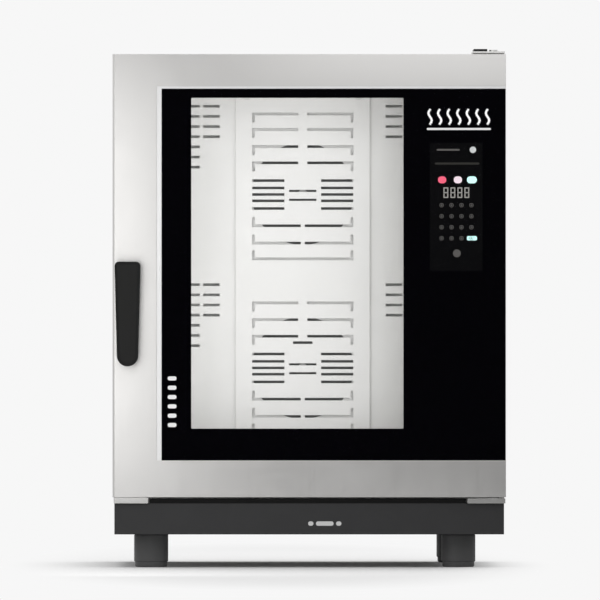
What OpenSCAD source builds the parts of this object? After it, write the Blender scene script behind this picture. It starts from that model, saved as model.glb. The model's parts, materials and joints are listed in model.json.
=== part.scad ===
/* [Overall] */
// Width of the front
front_w = 760; // [745:1:920]
// Depth from the outer glass to the rear panel
cab_d = 710; // [690:1:860]
// Height of the door
door_h = 856; // [840:1:1040]
// How far the handle stands in front of the door
handle_proj = 45; // [40:1:60]
// How far the drain and water fittings stand behind the rear panel
rear_proj = 45; // [35:1:60]

/* [Base and feet] */
// Height of the feet
foot_h = 64; // [50:1:90]
// Diameter of a foot
foot_dia = 66; // [45:1:80]
// Height of the base frame
base_h = 60; // [50:1:80]
// Gap between the base frame and the door
base_gap = 12; // [11:0.5:20]
// Distance between the left and right feet
foot_span_x = 595; // [500:1:620]
// How far the feet pattern is set to the left
foot_shift_x = 8; // [0:1:15]
// Distance of a foot's axis from the front or the rear of the cabinet
foot_inset_y = 85; // [75:1:140]
// Diameter of a foot's threaded stem
foot_stem_dia = 16; // [10:1:20]

/* [Door] */
// Depth of the door skin
skin_d = 25; // [22:1:35]
// Whole thickness of the door
door_t = 60; // [52:1:80]
// Gap between the door and the front fascia
door_gap = 5; // [4:0.5:8]
// Thickness of the sheet steel
sheet = 1.5; // [1:0.1:2]
// Radius of the door skin's left edge
edge_r = 5; // [2:0.5:8]
// Width of the steel strip left of the glass
strip_left = 95; // [80:1:120]
// Height of the steel strip above the glass
strip_top = 67; // [55:1:90]
// Height of the steel strip below the glass
strip_bottom = 71; // [55:1:90]
// Width of the bright trim left of the glass
trim_w = 9.5; // [6:0.5:14]
// Height of the bright trim above the glass
trim_top = 5; // [3:0.5:8]
// Thickness of the outer glass
glass_t = 6; // [4:0.5:8]
// Width of the black border left of the window
mask_left = 57; // [45:1:80]
// Width of the black border right of the window
mask_right = 198; // [185:1:230]
// Height of the black border above the window
mask_top = 17.5; // [12:0.5:40]
// Height of the black border below the window
mask_bottom = 61.5; // [40:0.5:90]
// Thickness of the inner glass
inner_glass_t = 5; // [4:0.5:6]
// Distance of the hinge axis from the right edge
hinge_inset = 24; // [18:1:30]
// Diameter of a hinge pin
hinge_pin_dia = 12; // [8:1:14]

/* [Handle] */
// Length of the grip
grip_l = 202; // [160:1:240]
// Width of the grip at its top
grip_w_top = 50; // [40:1:56]
// Width of the grip at its lower end
grip_w_end = 41; // [30:1:48]
// Distance of the grip's axis from the left edge
grip_inset = 29; // [26:1:40]
// Height of the grip's lower end above the door's lower edge
grip_low = 253; // [200:1:330]
// Gap for the fingers between the grip and the door
finger_gap = 23; // [18:1:30]
// Diameter of the handle's spindle
spindle_dia = 14; // [10:1:16]

/* [Cavity] */
// Distance of the cavity's left wall from the left edge
cav_left = 76; // [70:1:90]
// Distance of the cavity's right wall from the right edge
cav_right = 94; // [88:1:110]
// Height of the cavity floor above the door's lower edge
cav_low = 64; // [56:1:80]
// Distance of the cavity ceiling below the door's upper edge
cav_high = 62; // [56:1:80]
// Depth of the bay behind the cavity
bay_d = 205; // [190:1:240]
// Thickness of the mineral wool
wool_t = 38; // [25:1:42]
// Radius of the cavity's corners
cav_r = 20; // [8:1:30]
// Distance from the fan baffle to the cavity's rear wall
baffle_gap = 93; // [85:1:110]
// Width of the raised pan in the baffle's middle
pan_w = 263; // [250:1:300]
// Depth of the raised pan
pan_d = 14; // [8:1:20]
// Number of tray levels
levels = 10; // [4:1:10]
// Height between two tray levels
level_pitch = 67; // [60:1:67]
// Depth of a tray
tray_d = 325; // [300:1:330]

/* [Fans] */
// Height of the lower fan's axis above the cavity floor
fan_low = 184; // [165:1:200]
// Distance between the fan axes
fan_pitch = 341; // [300:1:345]
// Diameter of a fan wheel
fan_dia = 236; // [190:1:250]
// Diameter of the air inlet in front of a fan
inlet_dia = 200; // [160:1:210]
// Diameter of a fan shaft
shaft_dia = 14; // [10:1:20]
// Diameter of a heater ring
heater_dia = 284; // [270:1:290]
// Diameter of the heater tube
heater_tube = 8.5; // [6:0.5:10]
// Diameter of a motor
motor_dia = 120; // [90:1:140]
// Length of a motor
motor_l = 110; // [80:1:120]

/* [Services] */
// Outer diameter of the drain pipe
drain_dia = 40; // [32:1:44]
// Outer diameter of a water inlet
inlet_thread_dia = 26.4; // [20:0.1:34]
// Outer diameter of the flues
flue_dia = 40; // [30:1:44]
// How far the flues stand above the top cover
flue_top = 14; // [8:0.5:45]
// Bore of the cable gland
gland_bore = 16; // [10:1:20]
// Size of the square cooling fan
cooler_w = 120; // [80:1:120]

/* [Hidden] */
$fn = 64;

// Small gap between pieces on different bodies, and a running clearance on a radius
fit_gap = 0.3;
run_gap = 0.05;

// Depth frame: the whole depth is centred on the origin
front_y = -(handle_proj + cab_d + rear_proj) / 2 + handle_proj;
face_y = front_y + door_t + door_gap;
back_y = front_y + cab_d;

// Width frame
half_w = front_w / 2;
cab_half = half_w - 2;
in_half = cab_half - sheet;

// Height frame
base_z = foot_h;
base_top = base_z + base_h;
door_z = base_top + base_gap;
door_top = door_z + door_h;
cab_top = door_top - 5.5;
foot_r = foot_dia / 2;
stem_r = foot_stem_dia / 2;
foot_x = [-foot_shift_x - foot_span_x / 2, -foot_shift_x + foot_span_x / 2];
foot_y = [front_y + foot_inset_y, back_y - foot_inset_y];
boss_h = 30;
boss_t = 6;

// Door glass and window
glass_x = -half_w + strip_left;
glass_z = [door_z + strip_bottom, door_top - strip_top];
win_x = [glass_x + mask_left, half_w - mask_right];
win_z = [glass_z[0] + mask_bottom, glass_z[1] - mask_top];
mask_t = 0.6;
mask_back = glass_t + mask_t;
hinge_x = half_w - hinge_inset;
hinge_d = 14;
hinge_y = front_y + hinge_d;
pin_r = hinge_pin_dia / 2;
pin_head = 3;

// Keypad behind the glass
key_w = 102;
key_h = 248;
key_x = half_w - 45 - key_w;
key_z = glass_z[1] - 104 - key_h;
bay_margin = 15;

// Door core, inner frame and inner glass
core_x = [-half_w + 50, half_w - sheet];
core_z = [glass_z[0] - 45, glass_z[1] + 35];
see_side = 22;
see_x = [win_x[0] - see_side, win_x[1] + see_side];
see_z = [win_z[0] - 12, min(win_z[1] + 12, glass_z[1] - 4)];
frame_x = [core_x[0] + 5, half_w - hinge_inset - 16];
frame_z = [door_z + 29, door_top - 32];
pane_lip = 12;

// Cavity
cav_x = [-half_w + cav_left, half_w - cav_right];
cav_mid = (cav_x[0] + cav_x[1]) / 2;
cav_z = [door_z + cav_low, door_top - cav_high];
fascia_y = face_y + 2;
cav_back = back_y - bay_d;
bulkhead_y = cav_back + sheet + wool_t;
pan_y = cav_back - baffle_gap;
wing_y = pan_y + pan_d;
inlet_y = wing_y + sheet;
fan_z = [cav_z[0] + fan_low, cav_z[0] + fan_low + fan_pitch];
fan_y = inlet_y + sheet + 8;
wheel_t = 46;
shaft_r = shaft_dia / 2;
motor_y = bulkhead_y + 2;
injector_x = cav_mid + motor_dia / 2 + 20;
injector_z = (fan_z[0] + fan_z[1]) / 2;

// Tray racks
rack_y = face_y + 25;
rack_wall = 14;
rack_low = 34;
rail_w = 24;
post_w = 8;
rack_top = rack_low + (levels - 1) * level_pitch + 20;

// Latch
latch_x = -half_w + grip_inset;
grip_z = [door_z + grip_low, door_z + grip_low + grip_l];
latch_z = grip_z[1] - 34;
spindle_r = spindle_dia / 2;
tongue_l = 24;
tongue_y = front_y + skin_d + 5;
tongue_t = 8;

// Services
drain_r = drain_dia / 2;
drain_y = (face_y + pan_y) / 2;
drain_z = base_z + base_h / 2;
pipe_t = 1.5;
// A pipe's free end is this much wider in radius than its neck, and starts this far outside the panel
neck_step = 0.4;
neck_gap = 1;
flue_r = flue_dia / 2;
flue_x = (cav_x[1] + wool_t + sheet + in_half) / 2;
flue_y = [cav_back - 190, cav_back - 95];
inlet_r = inlet_thread_dia / 2;
valve_x = cav_x[1] - 110;
inlet_pitch = 60;
valve_z = base_top + 70;
gland_x = half_w - 70;
gland_z = base_top + 40;
earth_x = gland_x - 60;
cooler_x = -half_w + 150;
cooler_z = cab_top - 110;
cooler_t = 38;
// The upper slots sit this much lower against their fan than the lower ones
slot_drop = 1.4;

// A box between two corners
module block(x, y, z) {
    translate([x[0], y[0], z[0]]) cube([x[1] - x[0], y[1] - y[0], z[1] - z[0]]);
}

// A flat drawing in x and z made t thick, from y backwards
module facing(y, t) {
    translate([0, y + t, 0]) rotate([90, 0, 0]) linear_extrude(t) children();
}

// A rectangle in a drawing
module rect(x, z) {
    translate([x[0], z[0]]) square([x[1] - x[0], z[1] - z[0]]);
}

// A rectangle with round corners
module round_rect(x, z, r) {
    rect([x[0] + r, x[1] - r], z);
    rect(x, [z[0] + r, z[1] - r]);
    for (cx = [x[0] + r, x[1] - r], cz = [z[0] + r, z[1] - r]) translate([cx, cz]) circle(r);
}

// A round bar along y
module rod_y(x, y, z, r) {
    translate([x, y[1], z]) rotate([90, 0, 0]) cylinder(r = r, h = y[1] - y[0]);
}

// A round bar along z
module rod_z(x, y, z, r) {
    translate([x, y, z[0]]) cylinder(r = r, h = z[1] - z[0]);
}

// A round bar along x
module rod_x(x, y, z, r) {
    translate([x[0], y, z]) rotate([0, 90, 0]) cylinder(r = r, h = x[1] - x[0]);
}

// Both ends of a range moved outwards by g
function grow(v, g) = [v[0] - g, v[1] + g];

// A row of louvre openings in a drawing
module louvres(x, z, count, pitch) {
    for (i = [0:count - 1]) rect(x, [z + i * pitch, z + i * pitch + 5]);
}

// ---- Cabinet ----
module base_frame() {
    wall = 3;
    outer_x = [-half_w + 3.5, half_w - 3.5];
    outer_y = [front_y + 8, back_y - 6];
    color("#3a3a3a") difference() {
        union() {
            difference() {
                block(outer_x, outer_y, [base_z, base_top]);
                block(grow(outer_x, -wall), grow(outer_y, -wall), [base_z + wall, base_top + 1]);
                block(grow(outer_x, -35), grow(outer_y, -35), [base_z - 1, base_z + 5]);
            }
            for (i = [0, 1], j = [0, 1]) {
                block([i == 0 ? outer_x[0] + 1 : foot_x[1] - 60, i == 0 ? foot_x[0] + 60 : outer_x[1] - 1],
                    [j == 0 ? outer_y[0] + 1 : foot_y[1] - 60, j == 0 ? foot_y[0] + 60 : outer_y[1] - 1],
                    [base_z, base_z + wall]);
                rod_z(foot_x[i], foot_y[j], [base_z, base_z + boss_h], stem_r + boss_t);
            }
        }
        for (x = foot_x, y = foot_y) rod_z(x, y, [base_z - 1, base_z + boss_h + 1], stem_r + run_gap);
        rod_y(cav_mid, [outer_y[1] - wall - 1, outer_y[1] + 1], drain_z, drain_r + 1);
    }
}

module drip_channel() {
    x = [-half_w + 6.5, half_w - 6.5];
    y = [front_y + 11, fascia_y];
    color("silver") difference() {
        block(x, y, [base_top - 16, base_top - 1]);
        block(grow(x, -sheet), grow(y, -sheet), [base_top - 16 + sheet, base_top]);
        rod_z(cav_mid, front_y + 36, [base_top - 17, base_top - 10], 6);
    }
}

module chassis_floor() {
    color("silver") difference() {
        block([-in_half, in_half], [fascia_y, back_y - sheet], [base_top, base_top + 2]);
        rod_z(cav_mid, drain_y, [base_top - 1, base_top + 3], drain_r + 1);
    }
}

// One side panel with its front return, seen from the left
module side_panel(vents) {
    difference() {
        union() {
            block([-cab_half, -in_half], [face_y, back_y - sheet], [base_top, cab_top - sheet]);
            block([-in_half, -in_half + 12], [fascia_y, fascia_y + sheet], [base_top + 2, cab_top - sheet]);
        }
        if (vents) for (i = [0:13])
            block([-cab_half - 1, -in_half + 1], [back_y - 120, back_y - 40],
                [base_top + 90 + i * 14, base_top + 95 + i * 14]);
    }
}

module left_panel() {
    color("lightgray") side_panel(false);
}

module right_panel() {
    color("lightgray") mirror([1, 0, 0]) side_panel(true);
}

module top_cover() {
    color("lightgray") difference() {
        block([-cab_half, cab_half], [face_y, back_y], [cab_top - sheet, cab_top]);
        for (y = flue_y) rod_z(flue_x, y, [cab_top - 3, cab_top + 1], flue_r + 0.5);
    }
}

module rear_panel() {
    color("lightgray") difference() {
        facing(back_y - sheet, sheet) difference() {
            rect([-cab_half, cab_half], [base_top, cab_top - sheet]);
            louvres([-60, 60], base_top + 60, 8, 14);
            louvres([-60, 60], cab_top - 220, 8, 14);
            for (r = [16:10:46], a = [0:30:330])
                translate([cooler_x + r * cos(a), cooler_z + r * sin(a)]) circle(2.2 + r / 46, $fn = 24);
            for (i = [0, 1]) translate([valve_x + i * inlet_pitch, valve_z]) circle(inlet_r + 0.5);
            translate([gland_x, gland_z]) circle(gland_bore / 2 + 4);
            translate([earth_x, gland_z]) circle(4.1);
        }
    }
}

module front_fascia() {
    color("lightgray") facing(face_y, 2) difference() {
        rect([-in_half, in_half], [base_top, cab_top - sheet]);
        round_rect(cav_x, cav_z, cav_r);
    }
}

module rear_bulkhead() {
    color("silver") facing(bulkhead_y, 2) difference() {
        rect([-in_half, in_half], [base_top + 2, cab_top - sheet]);
        for (z = fan_z) translate([cav_mid, z]) circle(shaft_r + 6);
        for (z = fan_z, s = [-1, 1]) translate([cav_mid + s * 24, z - heater_dia / 2]) circle(8);
        translate([injector_x, injector_z]) circle(8);
    }
}

module cavity_shell() {
    color("silver") difference() {
        union() {
            facing(fascia_y, cav_back - fascia_y) difference() {
                round_rect(grow(cav_x, sheet), grow(cav_z, sheet), cav_r + sheet);
                round_rect(cav_x, cav_z, cav_r);
            }
            facing(cav_back, sheet) difference() {
                round_rect(grow(cav_x, sheet), grow(cav_z, sheet), cav_r + sheet);
                for (z = fan_z) translate([cav_mid, z]) circle(shaft_r + 3);
                for (z = fan_z, s = [-1, 1])
                    translate([cav_mid + s * 24, z - heater_dia / 2]) circle(heater_tube / 2 + 0.2);
                translate([injector_x, injector_z]) circle(6.2);
            }
        }
        rod_z(cav_mid, drain_y, [cav_z[0] - 5, cav_z[0] + 5], drain_r - pipe_t);
        for (y = flue_y) rod_x([cav_x[1] - 5, cav_x[1] + 5], y, cav_z[1] - 50, flue_r - pipe_t);
    }
}

module cavity_insulation() {
    out_x = grow(cav_x, wool_t + sheet);
    out_z = grow(cav_z, wool_t + sheet);
    color("#d8c890") difference() {
        union() {
            facing(fascia_y, cav_back + sheet - fascia_y) difference() {
                rect(out_x, out_z);
                round_rect(grow(cav_x, sheet), grow(cav_z, sheet), cav_r + sheet);
            }
            facing(cav_back + sheet, wool_t) difference() {
                rect(out_x, out_z);
                for (z = fan_z) translate([cav_mid, z]) circle(shaft_r + 6);
                for (z = fan_z, s = [-1, 1]) translate([cav_mid + s * 24, z - heater_dia / 2]) circle(8);
                translate([injector_x, injector_z]) circle(8);
            }
        }
        rod_z(cav_mid, drain_y, [out_z[0] - 1, cav_z[0]], drain_r + 1);
        for (y = flue_y) rod_x([cav_x[1], out_x[1] + 1], y, cav_z[1] - 50, flue_r + 1);
    }
}

module door_gasket() {
    lip = 14;
    color("#202020") facing(face_y - door_gap + fit_gap, door_gap - fit_gap) difference() {
        round_rect(grow(cav_x, lip), grow(cav_z, lip), cav_r + lip);
        round_rect(cav_x, cav_z, cav_r);
    }
}

// ---- Cavity fittings ----
// A narrow slot with its far end turned up or down; turn is signed
module turned_slot(x, z, h, turn) {
    e = x[1] - h / 2;
    rect(x, [z - h / 2, z + h / 2]);
    rect([e - h / 2, e + h / 2], turn > 0 ? [z, z + turn] : [z + turn, z]);
    translate([e, z + turn]) circle(h / 2, $fn = 24);
}

// The slots of the pan around one fan: rows above it, and whether a short bar lies over its centre
module pan_slots(mid, z, upper_rows, short_bar) {
    slot_h = 5;
    reach = 99;
    hook = 14;
    for (row = upper_rows, s = [0, 1])
        mirror([s, 0]) translate([s == 0 ? mid : -mid, 0]) turned_slot([9, reach], z + row, slot_h, -hook);
    for (row = [-61.2, -95.1], s = [0, 1])
        mirror([s, 0]) translate([s == 0 ? mid : -mid, 0]) turned_slot([4, reach], z + row, slot_h, hook);
    for (s = [0, 1])
        mirror([s, 0]) translate([s == 0 ? mid : -mid, 0]) turned_slot([-1, reach], z - 126, slot_h, hook);
    for (row = [27.2, 12.8, 0, -12.4, -27.4], s = [-1, 1])
        rect([mid + (s < 0 ? -reach : 36), mid + (s < 0 ? -36 : reach)], [z + row - 2.5, z + row + 2.5]);
    for (row = [7, -10.4]) rect([mid - 26.6, mid + 26.6], [z + row - 2, z + row + 2]);
    if (short_bar) rect([mid - 19, mid + 19], [z + 47, z + 52]);
}

module fan_baffle() {
    pan_x = [cav_mid - pan_w / 2, cav_mid + pan_w / 2];
    z = grow(cav_z, -5);
    color("gainsboro") {
        facing(pan_y, sheet) difference() {
            rect(pan_x, z);
            pan_slots(cav_mid, fan_z[1] - slot_drop, [157.8, 127.3, 93.8, 62], false);
            pan_slots(cav_mid, fan_z[0], [127.3, 94.5, 62], true);
            for (x = grow(pan_x, -22), fz = grow(z, -9)) translate([x, fz]) circle(4.2);
        }
        for (x = [pan_x[0], pan_x[1] - sheet]) block([x, x + sheet], [pan_y, wing_y], z);
    }
}

module outlet_wings() {
    z = grow(cav_z, -5);
    slot_p = 19.9;
    color("gainsboro") for (s = [0, 1]) mirror([s, 0, 0]) translate([s == 0 ? cav_mid : -cav_mid, 0, 0]) {
        edge = (cav_x[1] - cav_x[0]) / 2 - 9;
        facing(wing_y, sheet) difference() {
            rect([pan_w / 2 - 18, edge], z);
            for (f = [0, 1], i = [0:3])
                rect([163, 195], [fan_z[f] + 163 + f * (10 - slot_drop) - i * slot_p - 2.5,
                    fan_z[f] + 163 + f * (10 - slot_drop) - i * slot_p + 2.5]);
            for (f = [0, 1], i = [0:6])
                rect([202, 234], [fan_z[f] + 163 + f * (10 - slot_drop) - i * slot_p - 2.5,
                    fan_z[f] + 163 + f * (10 - slot_drop) - i * slot_p + 2.5]);
        }
        block([edge - sheet, edge], [wing_y + sheet, cav_back], z);
    }
}

module inlet_plate() {
    color("silver") facing(inlet_y, sheet) difference() {
        rect([cav_mid - pan_w / 2 - 5, cav_mid + pan_w / 2 + 5], grow(cav_z, -8));
        for (z = fan_z) translate([cav_mid, z]) circle(inlet_dia / 2);
    }
}

module baffle_fasteners() {
    color("gray") for (s = [-1, 1], z = grow(cav_z, -14)) {
        x = cav_mid + s * (pan_w / 2 - 22);
        rod_y(x, [pan_y - 3, pan_y], z, 8);
        rod_y(x, [pan_y, wing_y], z, 4);
    }
}

// A three turn ring heater with two tails through the rear wall
module ring_heater(z) {
    tube = heater_tube / 2;
    first = fan_y + 4;
    for (i = [0:2]) translate([cav_mid, first + i * 16, z]) rotate([90, 0, 0])
        rotate_extrude() translate([heater_dia / 2, 0]) circle(tube, $fn = 24);
    for (s = [-1, 1]) rod_y(cav_mid + s * 24, [first, bulkhead_y + 14], z - heater_dia / 2, tube);
}

module ring_heaters() {
    color("dimgray") for (z = fan_z) ring_heater(z);
}

// A fan motor with its foot flange and shaft bore
module fan_motor(z) {
    r = motor_dia / 2;
    difference() {
        union() {
            rod_y(cav_mid, [motor_y, motor_y + 5], z, r);
            rod_y(cav_mid, [motor_y + 5, motor_y + motor_l - 8], z, r - 8);
            rod_y(cav_mid, [motor_y + motor_l - 8, motor_y + motor_l], z, r - 14);
            for (a = [0:20:340]) translate([cav_mid, 0, z]) rotate([0, a, 0])
                block([r - 12, r - 2], [motor_y + 4, motor_y + motor_l - 14], [-1, 1]);
        }
        rod_y(cav_mid, [motor_y - 1, motor_y + motor_l - 20], z, shaft_r + run_gap);
    }
}

module fan_motors() {
    color("slategray") for (z = fan_z) fan_motor(z);
}

// A fan shaft with its end nut
module fan_shaft(z) {
    rod_y(cav_mid, [fan_y + 14, motor_y + motor_l - 22], z, shaft_r);
    rod_y(cav_mid, [fan_y + 6, fan_y + 14], z, 9);
}

module fan_shaft_upper() {
    color("gray") fan_shaft(fan_z[1]);
}

module fan_shaft_lower() {
    color("gray") fan_shaft(fan_z[0]);
}

// A radial fan wheel: back disc, front ring, hub and straight vanes
module fan_wheel(z) {
    r = fan_dia / 2;
    vanes = 12;
    difference() {
        union() {
            rod_y(cav_mid, [fan_y + wheel_t - 2, fan_y + wheel_t], z, r);
            rod_y(cav_mid, [fan_y + 14, fan_y + wheel_t], z, 17);
            for (i = [0:vanes - 1]) translate([cav_mid, 0, z]) rotate([0, i * 360 / vanes, 0])
                block([r - 46, r - 1], [fan_y, fan_y + wheel_t - 1], [-1, 1]);
            difference() {
                rod_y(cav_mid, [fan_y, fan_y + 2], z, r);
                rod_y(cav_mid, [fan_y - 1, fan_y + 3], z, r - 22);
            }
        }
        rod_y(cav_mid, [fan_y - 1, fan_y + wheel_t + 1], z, shaft_r + run_gap);
    }
}

module fan_wheel_upper() {
    color("#404040") fan_wheel(fan_z[1]);
}

module fan_wheel_lower() {
    color("#404040") fan_wheel(fan_z[0]);
}

// A rack of angle rails on two posts, for the left wall
module tray_rack(wall_x) {
    y = [rack_y, rack_y + tray_d];
    z0 = cav_z[0];
    for (py = [y[0] + 20, y[1] - 20 - post_w])
        block([wall_x + rack_wall, wall_x + rack_wall + post_w], [py, py + post_w],
            [z0 + 12, z0 + rack_top]);
    for (i = [0:levels - 1]) {
        z = z0 + rack_low + i * level_pitch;
        block([wall_x + rack_wall + post_w, wall_x + rack_wall + post_w + rail_w], y, [z, z + 2]);
        block([wall_x + rack_wall + post_w, wall_x + rack_wall + post_w + 2], y, [z, z + 14]);
    }
}

module tray_rack_left() {
    color("silver") tray_rack(cav_x[0]);
}

module tray_rack_right() {
    color("silver") mirror([1, 0, 0]) tray_rack(-cav_x[1]);
}

module rack_studs() {
    z0 = cav_z[0];
    color("gray") for (y = [rack_y + 24, rack_y + tray_d - 24], z = [z0 + 28, z0 + rack_top - 8]) {
        rod_x([cav_x[0], cav_x[0] + rack_wall], y, z, 5);
        rod_x([cav_x[1] - rack_wall, cav_x[1]], y, z, 5);
    }
}

module drain_strainer() {
    color("silver") translate([cav_mid, drain_y, cav_z[0]]) linear_extrude(2) difference() {
        circle(drain_r + 12);
        circle(2.5, $fn = 24);
        for (r = [8, 15], a = [0:45:315]) rotate(a + r * 3) translate([r, 0]) circle(2.5, $fn = 24);
    }
}

// ---- Services ----
module drain_pipe() {
    end_y = back_y + rear_proj;
    color("gray") difference() {
        union() {
            rod_z(cav_mid, drain_y, [drain_z, cav_z[0] - sheet], drain_r - neck_step);
            translate([cav_mid, drain_y, drain_z]) sphere(drain_r - neck_step);
            rod_y(cav_mid, [drain_y, end_y - 1], drain_z, drain_r - neck_step);
            rod_y(cav_mid, [back_y + neck_gap, end_y], drain_z, drain_r);
        }
        rod_z(cav_mid, drain_y, [drain_z, cav_z[0] + 1], drain_r - pipe_t);
        translate([cav_mid, drain_y, drain_z]) sphere(drain_r - pipe_t);
        rod_y(cav_mid, [drain_y, end_y + 1], drain_z, drain_r - pipe_t);
    }
}

module steam_injector() {
    z = injector_z;
    x = injector_x;
    y = motor_y + 28;
    color("#c08040") {
        rod_y(x, [cav_back - 30, y], z, 6);
        translate([x, y, z]) sphere(6);
        rod_z(x, y, [valve_z, z], 6);
        translate([x, y, valve_z]) sphere(6);
        rod_x([x, valve_x - 24], y, valve_z, 6);
    }
}

module water_valve() {
    end_y = back_y + 20;
    color("#b08840") difference() {
        union() {
            block([valve_x - 24, valve_x + inlet_pitch + 24], [motor_y + 10, back_y - sheet - 12],
                [valve_z - 20, valve_z + 20]);
            for (i = [0, 1]) {
                rod_y(valve_x + i * inlet_pitch, [back_y - sheet - 13, end_y - 1], valve_z,
                    inlet_r - neck_step);
                rod_y(valve_x + i * inlet_pitch, [back_y + neck_gap, end_y], valve_z, inlet_r);
                rod_z(valve_x + i * inlet_pitch, motor_y + 50, [valve_z + 19, valve_z + 60], 15);
            }
        }
        for (i = [0, 1]) rod_y(valve_x + i * inlet_pitch, [back_y - 30, end_y + 1], valve_z, inlet_r - 4);
    }
}

module flues() {
    z = cav_z[1] - 50;
    color("silver") for (y = flue_y) difference() {
        union() {
            rod_z(flue_x, y, [z, cab_top + flue_top - 1], flue_r - neck_step);
            translate([flue_x, y, z]) sphere(flue_r - neck_step);
            rod_x([cav_x[1] + sheet, flue_x], y, z, flue_r - neck_step);
            rod_z(flue_x, y, [cab_top + neck_gap, cab_top + flue_top], flue_r);
        }
        rod_z(flue_x, y, [z, cab_top + flue_top + 1], flue_r - pipe_t);
        translate([flue_x, y, z]) sphere(flue_r - pipe_t);
        rod_x([cav_x[1], flue_x], y, z, flue_r - pipe_t);
    }
}

module power_board() {
    x = [cav_mid + 110, cav_mid + 270];
    z = [fan_z[1] - 90, fan_z[1] + 90];
    y = motor_y + 12;
    color("darkgreen") {
        block(x, [y, y + 2], z);
        for (px = grow(x, -10), pz = grow(z, -10)) rod_y(px, [motor_y, y], pz, 4);
        for (i = [0:3]) block([x[0] + 15 + i * 34, x[0] + 41 + i * 34], [y + 2, y + 24],
            [z[0] + 30, z[0] + 64]);
        block([x[0] + 20, x[0] + 90], [y + 2, y + 34], [z[1] - 70, z[1] - 20]);
    }
}

module cable_gland() {
    r = gland_bore / 2;
    color("#303030") difference() {
        union() {
            rod_y(gland_x, [back_y - 12, back_y + 6], gland_z, r + 4);
            translate([gland_x, back_y + 8, gland_z]) rotate([90, 0, 0]) cylinder(r = r + 8, h = 8, $fn = 6);
            rod_y(gland_x, [back_y + 8, back_y + 22], gland_z, r + 5);
        }
        rod_y(gland_x, [back_y - 13, back_y + 23], gland_z, r);
    }
}

module earth_stud() {
    color("gold") {
        rod_y(earth_x, [back_y - sheet, back_y + 21], gland_z, 4 - neck_step);
        rod_y(earth_x, [back_y + neck_gap, back_y + 22], gland_z, 4);
        rod_y(earth_x, [back_y - sheet - 8, back_y - sheet], gland_z, 8);
    }
}

module cooling_fan_housing() {
    y = back_y - sheet - cooler_t;
    w = cooler_w / 2;
    color("#252525") {
        facing(y, cooler_t) difference() {
            round_rect([cooler_x - w, cooler_x + w], [cooler_z - w, cooler_z + w], 6);
            translate([cooler_x, cooler_z]) circle(w - 3);
        }
        difference() {
            union() {
                facing(y + cooler_t - 4, 4) for (a = [45:90:315]) translate([cooler_x, cooler_z]) rotate(a)
                    rect([10, w - 2], [-3, 3]);
                rod_y(cooler_x, [y + cooler_t - 12, y + cooler_t], cooler_z, 16);
            }
            rod_y(cooler_x, [y + cooler_t - 13, y + cooler_t - 3], cooler_z, 3 + run_gap);
        }
    }
}

module cooling_fan_rotor() {
    y = back_y - sheet - cooler_t;
    w = cooler_w / 2;
    color("#353535") {
        rod_y(cooler_x, [y + 2, y + cooler_t - 13], cooler_z, 20);
        rod_y(cooler_x, [y + 20, y + cooler_t - 4], cooler_z, 3);
        for (a = [0:51.43:359]) translate([cooler_x, y + 12, cooler_z]) rotate([0, a, 0])
            rotate([35, 0, 0]) translate([0, -8, -1.2]) cube([w - 6, 18, 2.4]);
    }
}

// ---- Hinges and latch ----
module upper_hinge_bracket() {
    x = [hinge_x - 40, half_w - 2];
    z = door_top + 1.5;
    color("lightgray") difference() {
        union() {
            block(x, [front_y + 2, face_y + 110], [z, z + 4]);
            block(x, [face_y + 5, face_y + 110], [cab_top, z]);
        }
        rod_z(hinge_x, hinge_y, [z - 1, z + 5], pin_r);
    }
}

module lower_hinge_bracket() {
    x = [half_w - 74, half_w - 1];
    front = hinge_y - pin_r - pin_head;
    z = door_z - 2.5;
    color("lightgray") difference() {
        union() {
            block([x[0], x[1]], [front - 3, face_y], [z - 3.5, z]);
            block([x[0], x[1]], [front - 3, front], [base_top, z]);
            block([x[0], x[0] + 44], [face_y - 3, face_y], [z - 3.5, z + 26]);
        }
        rod_z(hinge_x, hinge_y, [z - 4, z + 1], pin_r);
    }
}

module hinge_pins() {
    low = door_z - 6;
    high = door_top + 5.5;
    color("gray") {
        rod_z(hinge_x, hinge_y, [low - 3, low], pin_r + pin_head);
        rod_z(hinge_x, hinge_y, [low, door_z + 18], pin_r);
        rod_z(hinge_x, hinge_y, [door_top - 18, high], pin_r);
        rod_z(hinge_x, hinge_y, [high, high + 3], pin_r + 2);
    }
}

module hinge_cap() {
    color("#202020") block([hinge_x - 38, hinge_x - 12], [front_y + 4, face_y + 60],
        [door_top + 5.5, door_top + 10]);
}

module door_rest_plate() {
    x = [-half_w + 3, -half_w + 69];
    z = door_z - 0.5;
    color("lightgray") {
        block(x, [front_y + 2, face_y], [z - 3.5, z]);
        block(x, [front_y + 2, front_y + 5], [base_top, z]);
        block([x[0] + 4, x[0] + 60], [face_y - 3, face_y], [z, z + 22]);
    }
}

module latch_keeper() {
    z = latch_z - tongue_l - 5;
    color("gray") {
        block([latch_x - 15, latch_x + 12], [face_y - 3, face_y], [z - 40, z]);
        for (x = [latch_x - 15, latch_x + 9]) block([x, x + 3], [tongue_y, face_y - 3], [z - 24, z]);
        rod_x([latch_x - 12, latch_x + 9], tongue_y + 6, z - 6, 4);
    }
}

module panel_screws() {
    color("gray") for (x = [-cab_half + 12, cab_half - 12], i = [0:5])
        rod_y(x, [back_y, back_y + 2.5], base_top + 20 + i * (cab_top - base_top - 40) / 5, 4.5);
}

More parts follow.
